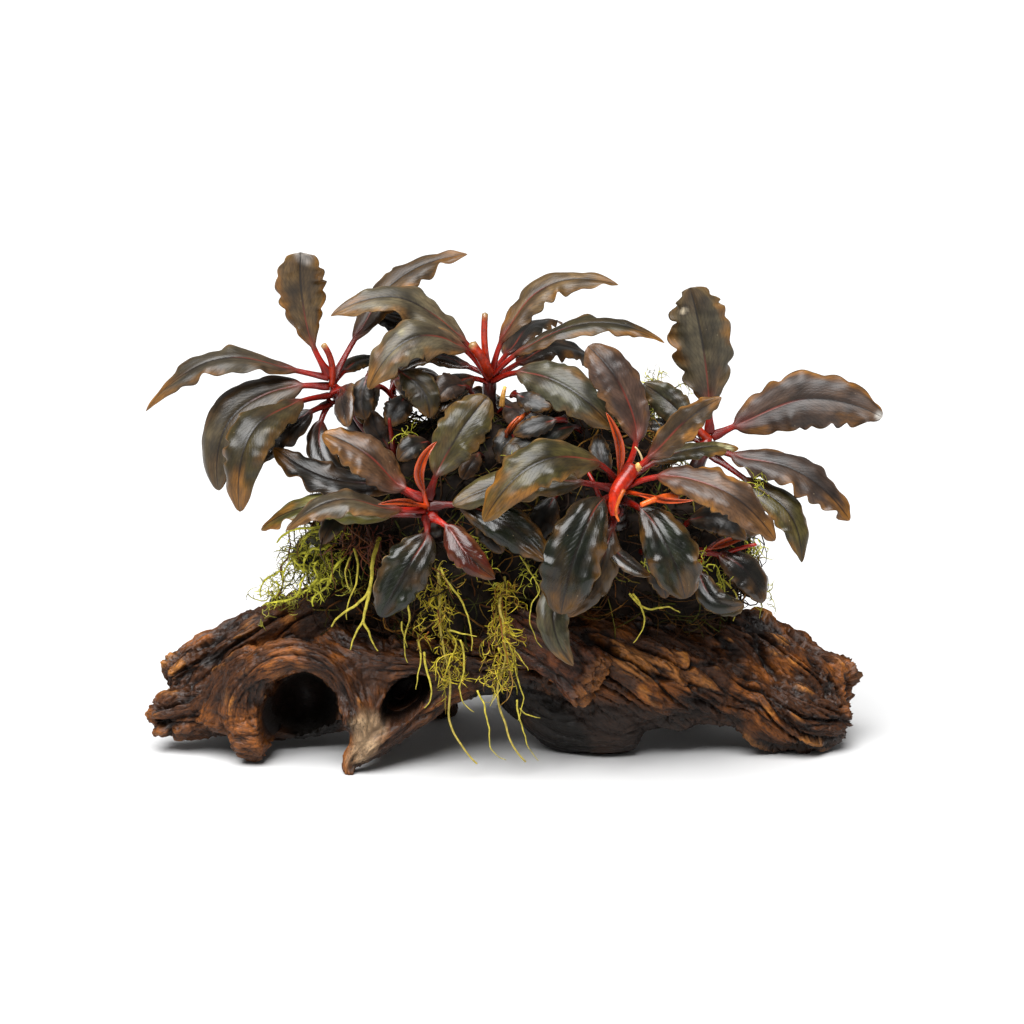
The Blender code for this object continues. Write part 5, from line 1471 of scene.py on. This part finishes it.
class PLANT_OT_moss(bpy.types.Operator):
    """Build the moss tufts."""

    bl_idname = "plant.moss"
    bl_label = "Moss"

    def execute(self, context):
        settings = context.scene.plant_strands
        material = strand_material("moss_strand", 0.5)
        green = np.array(settings.moss_colour)
        rng = np.random.default_rng(8)
        for name, blobs in MOSS.items():
            inner = [(c, np.array(r) * 0.45) for c, r in blobs]
            # The dark core is painted shade inside the tuft.
            skin = blob_skin(name + "_core", inner, 1.2, 1.6, 91, (0.010, 0.008, 0.003), green * 0.12)
            place(name + "_core", skin, material, (name,))
            shape = Shape()
            count = settings.moss_strands // 2
            starts, out = on_blobs(inner, count, rng)
            reach = rng.uniform(-1.5, 1.5, len(starts))

            def keep(points, blobs=blobs, reach=reach):
                height, way = blob_field(points, blobs)
                return -way * np.clip(0.35 * (height - reach), -0.1, 1.1)[:, None]

            headings = unit(out + 0.8 * rng.normal(size=out.shape) + (0.0, 0.0, 0.2))
            paths = wander(starts, headings, 12, rng.uniform(0.4, 1.2, len(starts)), 0.34,
                           (0.0, 0.0, -0.15), rng, keep)
            paths[:, :, 2] = np.maximum(paths[:, :, 2], 1.0)
            shades = [(0.03, 0.012, 0.004), (0.16, 0.045, 0.010), green * 0.2, green * 0.5, green,
                      (0.66, 0.62, 0.12), green * 0.8, green * 0.25, (0.04, 0.05, 0.006), (0.10, 0.04, 0.008)]
            add_strands(shape, paths, rng.uniform(0.08, 0.22, len(starts)), 4,
                        palette(shades, len(starts), rng, 0.4), 1.4)
            add_hairs(shape, paths, count * 5, rng, 0.45, shades[2:7])
            if name == "moss_left":
                for i, (girth, rows) in enumerate(MOSS_ARCS):
                    t = np.linspace(0.0, 1.0, 24)
                    line = through(rows, t)
                    line = line + 0.25 * waver(line, 2.0, (51, 52, 53))
                    radii = girth * (0.85 + 0.35 * noise(line / 1.7, 54)) * (1.0 - 0.4 * (1.0 - t) ** 3)
                    is_brown = i >= len(MOSS_ARCS) - BROWN_ARCS
                    base = np.array((0.09, 0.030, 0.012)) if is_brown else green * 1.25
                    tint = base * (1.0 + 0.5 * noise(line / 3.0, 55))[:, None]
                    add_tubes(shape, line[None], radii[None], 7, tint[None])
                    add_hairs(shape, line[None], 45, rng, 0.32, (green * 0.4, green, green * 1.5))
            place(name + "_strands", shape.mesh(name + "_strands"), material)
        shape = Shape()
        count = 12
        for middle, reach in TUFTS:
            starts = np.array(middle) + rng.normal(size=(count, 3)) * (0.35 * reach)
            headings = rng.normal(size=(count, 3)) + (0.0, -0.3, 0.1)
            pace = rng.uniform(0.3, 0.26 * reach, count)
            paths = wander(starts, headings, 9, pace, 0.35, (0.0, 0.0, -0.08), rng)
            thick = rng.uniform(0.09, 0.20, count)
            add_strands(shape, paths, thick, 4, palette((green * 0.4, green, green * 1.2), count, rng))
            add_hairs(shape, paths, count * 2, rng, 0.4, (green * 0.5, green))
        place("moss_tufts", shape.mesh("moss_tufts"), material)
        return {"FINISHED"}


class PLANT_OT_hanging_roots(bpy.types.Operator):
    """Build the hanging root bundles and the forked roots on the wood."""

    bl_idname = "plant.hanging_roots"
    bl_label = "Hanging roots"

    def execute(self, context):
        settings = context.scene.plant_strands
        material = strand_material("root_strand", 0.42)
        yellow = np.array(settings.root_colour)
        rng = np.random.default_rng(12)
        shades = [(0.030, 0.012, 0.005), (0.12, 0.05, 0.010), yellow * 0.30, yellow * 0.8, yellow,
                  (0.50, 0.40, 0.04), (0.30, 0.15, 0.015), yellow * 0.3, (0.05, 0.02, 0.008)]
        for name, rows in ROOT_BUNDLES.items():
            shape = Shape()
            middle = through(rows, np.linspace(0.0, 1.0, 60))
            path = middle[:, :3].copy()
            path[:, :2] += 0.8 * waver(path, 7.0, (95, 96))
            radii = np.linspace(0.42, 0.26, len(path))
            tint = np.array((0.42, 0.33, 0.06)) * (1.0 + 0.3 * noise(path / 5.0, 93))[:, None]
            add_tubes(shape, path[None], radii[None], 8, tint[None])

            def keep(points, middle=middle):
                gaps = np.linalg.norm(points[:, None] - middle[None, :, :3], axis=2)
                near = gaps.argmin(axis=1)
                away = middle[near, :3] - points
                over = gaps.min(axis=1) - middle[near, 3] * 1.3
                down = unit(np.gradient(middle[:, :3], axis=0))[near]
                return unit(away) * np.clip(0.16 * over, 0.0, 0.7)[:, None] + 0.28 * down

            count = settings.root_strands
            at = rng.integers(0, 32, count)
            starts = middle[at, :3] + rng.normal(size=(count, 3)) * middle[at, 3:4] * (0.55, 0.4, 0.4)
            headings = rng.normal(size=(count, 3)) * (0.9, 0.4, 0.4) + (0.0, -0.2, -0.9)
            short = rng.random(count) < 0.7
            pace = np.where(short, rng.uniform(0.25, 0.8, count), rng.uniform(0.8, 1.5, count))
            paths = wander(starts, headings, 15, pace, 0.26, (0.0, 0.0, -0.06), rng, keep)
            paths[:, :, 2] = np.maximum(paths[:, :, 2], 1.0)
            colours = palette(shades, count, rng, 0.4)
            brown = (rng.random(count) < 0.55 * np.exp(-at / 9.0))[:, None]
            browns = palette(((0.04, 0.012, 0.004), (0.26, 0.075, 0.010)), count, rng)
            colours = np.where(brown, browns, colours)
            add_strands(shape, paths, rng.uniform(0.10, 0.27, count), 5, colours)
            add_hairs(shape, paths, count * 5, rng, 0.5, shades[3:7])
            place(name + "_strands", shape.mesh(name), material, (name,))
        shape = Shape()
        for girth, rows in FORKED_ROOTS:
            t = np.linspace(0.0, 1.0, 26)
            line = through(rows, t)
            line = line + 0.35 * waver(line, 3.0, (97, 98, 99))
            radii = girth * (1.0 - 0.65 * t ** 1.3)
            tint = np.array((0.50, 0.42, 0.05)) * (1.0 + 0.2 * noise(line / 4.0, 94))[:, None]
            add_tubes(shape, line[None], radii[None], 8, tint[None])
        centre, reach, count = BROWN
        starts = np.array(centre, float) + rng.normal(size=(count, 3)) * reach * 0.6
        headings = rng.normal(size=(count, 3)) * 0.5 + (0.1, -0.5, -0.8)
        paths = wander(starts, headings, 12, rng.uniform(0.6, 1.4, count), 0.25, (0.0, 0.0, -0.15), rng)
        shades = ((0.02, 0.008, 0.004), (0.12, 0.025, 0.010), (0.20, 0.07, 0.015), (0.03, 0.012, 0.006))
        add_strands(shape, paths, rng.uniform(0.12, 0.30, count), 5, palette(shades, count, rng))
        place("forked_roots", shape.mesh("forked_roots"), material)
        return {"FINISHED"}


class PLANT_OT_leaves(bpy.types.Operator):
    """Build every large leaf."""

    bl_idname = "plant.leaves"
    bl_label = "Leaves"

    def execute(self, context):
        settings = context.scene.plant_leaves
        material = leaf_material("leaf_skin", vein_group(), 0.15 * MM, 0.0)
        for name, row in LEAVES.items():
            shape = Shape()
            add_leaf(shape, name, CROWNS[row[0]][2], row[1:], False, LOOKS[name], settings)
            place(name + "_blade", shape.mesh(name + "_blade"), material, (name,))
        return {"FINISHED"}


class PLANT_OT_mat_leaves(bpy.types.Operator):
    """Build the small leaves and shoots that lie on the root mat."""

    bl_idname = "plant.mat_leaves"
    bl_label = "Mat leaves"

    def execute(self, context):
        settings = context.scene.plant_leaves
        material = bpy.data.materials["leaf_skin"]
        shape = Shape()
        for i, (tone, base, neck, crest, tip, width, turn, outline, pleat) in enumerate(MAT_LEAVES):
            look = (tone, 0.4, 0.4, 0.8, pleat * 0.7, 0.40, 0.08)
            row = (0.0, neck, crest, tip, width, turn, outline)
            add_leaf(shape, "mat_leaf" + str(i), base, row, True, look, settings)
        for colour, girth, rows in SHOOTS:
            t = np.linspace(0.0, 1.0, 16)
            line = through(rows, t)
            radii = girth * (1.0 - 0.45 * t)
            tint = np.array(colour) * (0.5 + 0.7 * t)[:, None]
            add_tubes(shape, line[None], radii[None], 10, tint[None], gloss=0.28)
        place("mat_leaves", shape.mesh("mat_leaves"), material)
        return {"FINISHED"}


class PLANT_OT_crowns(bpy.types.Operator):
    """Build the crowns with their rolled leaves, cut petioles and small leaves."""

    bl_idname = "plant.crowns"
    bl_label = "Crowns"

    def execute(self, context):
        settings = context.scene.plant_leaves
        veins = bpy.data.node_groups["leaf_veins"]
        material = leaf_material("stem_skin", veins, 0.12 * MM, 0.3)
        red = np.array(settings.petiole_colour)
        for crown, (name, foot, centre) in CROWNS.items():
            shape = Shape()
            foot, centre = np.array(foot, float), np.array(centre, float)
            rng = np.random.default_rng(seed_of(name))
            t = np.linspace(0.0, 1.0, 22)
            line = foot + (centre + (0, 0, 1.2) - foot) * t[:, None]
            line = line + np.sin(t * np.pi)[:, None] * rng.normal(size=3) * 0.8
            wide, slim, glow = STEMS.get(crown, (2.6, 1.9, red * 0.8))
            ring = wide + (slim - wide) * t + 0.35 * np.sin(t * 34.0) * (1 - t)
            ring[-3:] *= (0.9, 0.65, 0.3)
            tint = mixed((0.010, 0.004, 0.003), glow, smooth(0.60, 1.0, t))[None]
            add_tubes(shape, line[None], ring[None], 14, tint, gloss=0.3)
            for kind, middle, tip, half in SPEARS.get(crown, ()):
                middle, tip = np.array(middle, float), np.array(tip, float)
                if kind == "rolled":
                    row = (0.0, centre + (middle - centre) * 0.5, middle, tip, half * 2.3, 80.0, "lance")
                    look = ("red", 0.2, 0.3, 0.15, 0.0, 0.28, 1.0)
                    add_leaf(shape, name + kind, centre, row, True, look, settings, fold=0.9)
                    parts = shape.values["tint"]
                    glow = np.array(settings.spear_colour)
                    parts[-1][:, :3] = parts[-1][:, :3] * 0.4 + glow * 0.6
                else:
                    t = np.linspace(0.0, 1.0, 10)
                    line = through(np.stack([centre, middle, tip]), t)
                    girth = half * (1.1 - 0.15 * t)
                    tint = np.broadcast_to(red * 1.2 + (0.05, 0.012, 0.0), (1, 10, 3)).copy()
                    tint[0, -1] = (0.30, 0.18, 0.07)
                    add_tubes(shape, line[None], girth[None], 10, tint, gloss=0.28)
            for i, row in enumerate(SMALL_LEAVES.get(crown, ())):
                look = (("dark", "green", "purple")[i % 3], 0.35, 0.4, 0.5, 0.2, 0.28, 0.5)
                add_leaf(shape, name + str(i), centre, row, True, look, settings)
            place(name + "_stem", shape.mesh(name + "_stem"), material, (name,))
        return {"FINISHED"}


class PLANT_OT_stage(bpy.types.Operator):
    """Build the floor, the lamps and the camera."""

    bl_idname = "plant.stage"
    bl_label = "Stage"

    def execute(self, context):
        settings = context.scene.plant_stage
        half = settings.floor_size / 2.0
        mesh = bpy.data.meshes.new("floor")
        mesh.from_pydata([(-half, -half, 0), (half, -half, 0), (half, half, 0), (-half, half, 0)],
                         [], [(0, 1, 2, 3)])
        floor = linked("floor", mesh)
        material, tree, shader = shader_of("pale_floor")
        feed(tree, shader, {"Base Color": (settings.floor_grey,) * 3 + (1.0,), "Roughness": 0.9,
                            "Specular IOR Level": 0.0})
        mesh.materials.append(material)
        world = bpy.data.worlds.new("studio")
        world.use_nodes = True
        feed(world.node_tree, world.node_tree.nodes["Background"],
             {"Color": (1.0, 1.0, 1.0, 1.0), "Strength": settings.sky})
        context.scene.world = world
        data = bpy.data.lights.new("overhead_softbox", "SUN")
        data.energy = settings.key
        data.angle = math.radians(settings.key_size)
        lamp = linked("overhead_softbox", data)
        lamp.rotation_euler = (math.radians(24.0), math.radians(-12.0), 0.0)
        data = bpy.data.cameras.new("camera")
        data.lens = 100.0
        data.sensor_width = 36.0
        data.clip_start = 0.05
        data.clip_end = 50.0
        camera = linked("camera", data)
        lift = math.radians(settings.lift)
        camera.location = (0.0, -settings.distance * math.cos(lift),
                           settings.aim + settings.distance * math.sin(lift))
        camera.rotation_euler = (math.radians(90.0) - lift, 0.0, 0.0)
        context.scene.camera = camera
        context.scene.view_settings.view_transform = "Standard"
        return {"FINISHED"}


class PLANT_PT_panel(bpy.types.Panel):
    """Lists the settings and the steps of the plant."""

    bl_idname = "PLANT_PT_panel"
    bl_label = "Driftwood plant"
    bl_space_type = "VIEW_3D"
    bl_region_type = "UI"
    bl_category = "Driftwood plant"

    def draw(self, context):
        layout = self.layout
        for group in (context.scene.plant_wood, context.scene.plant_leaves,
                      context.scene.plant_strands, context.scene.plant_stage):
            box = layout.box()
            for key in group.__annotations__:
                box.prop(group, key)
        for step in STEPS:
            layout.operator(step.bl_idname)


STEPS = (PLANT_OT_driftwood, PLANT_OT_root_mat, PLANT_OT_moss, PLANT_OT_hanging_roots,
         PLANT_OT_leaves, PLANT_OT_mat_leaves, PLANT_OT_crowns, PLANT_OT_stage)
GROUPS = {"plant_wood": PlantWoodSettings, "plant_leaves": PlantLeafSettings,
          "plant_strands": PlantStrandSettings, "plant_stage": PlantStageSettings}


def register():
    for group in GROUPS.values():
        bpy.utils.register_class(group)
    for step in STEPS:
        bpy.utils.register_class(step)
    bpy.utils.register_class(PLANT_PT_panel)
    for key, group in GROUPS.items():
        setattr(bpy.types.Scene, key, bpy.props.PointerProperty(type=group))


def unregister():
    for key in GROUPS:
        delattr(bpy.types.Scene, key)
    for kind in (PLANT_PT_panel, *STEPS, *GROUPS.values()):
        bpy.utils.unregister_class(kind)


def main():
    """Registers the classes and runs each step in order."""
    register()
    bpy.ops.plant.driftwood()
    bpy.ops.plant.root_mat()
    bpy.ops.plant.moss()
    bpy.ops.plant.hanging_roots()
    bpy.ops.plant.leaves()
    bpy.ops.plant.mat_leaves()
    bpy.ops.plant.crowns()
    bpy.ops.plant.stage()


if __name__ == "__main__":
    main()
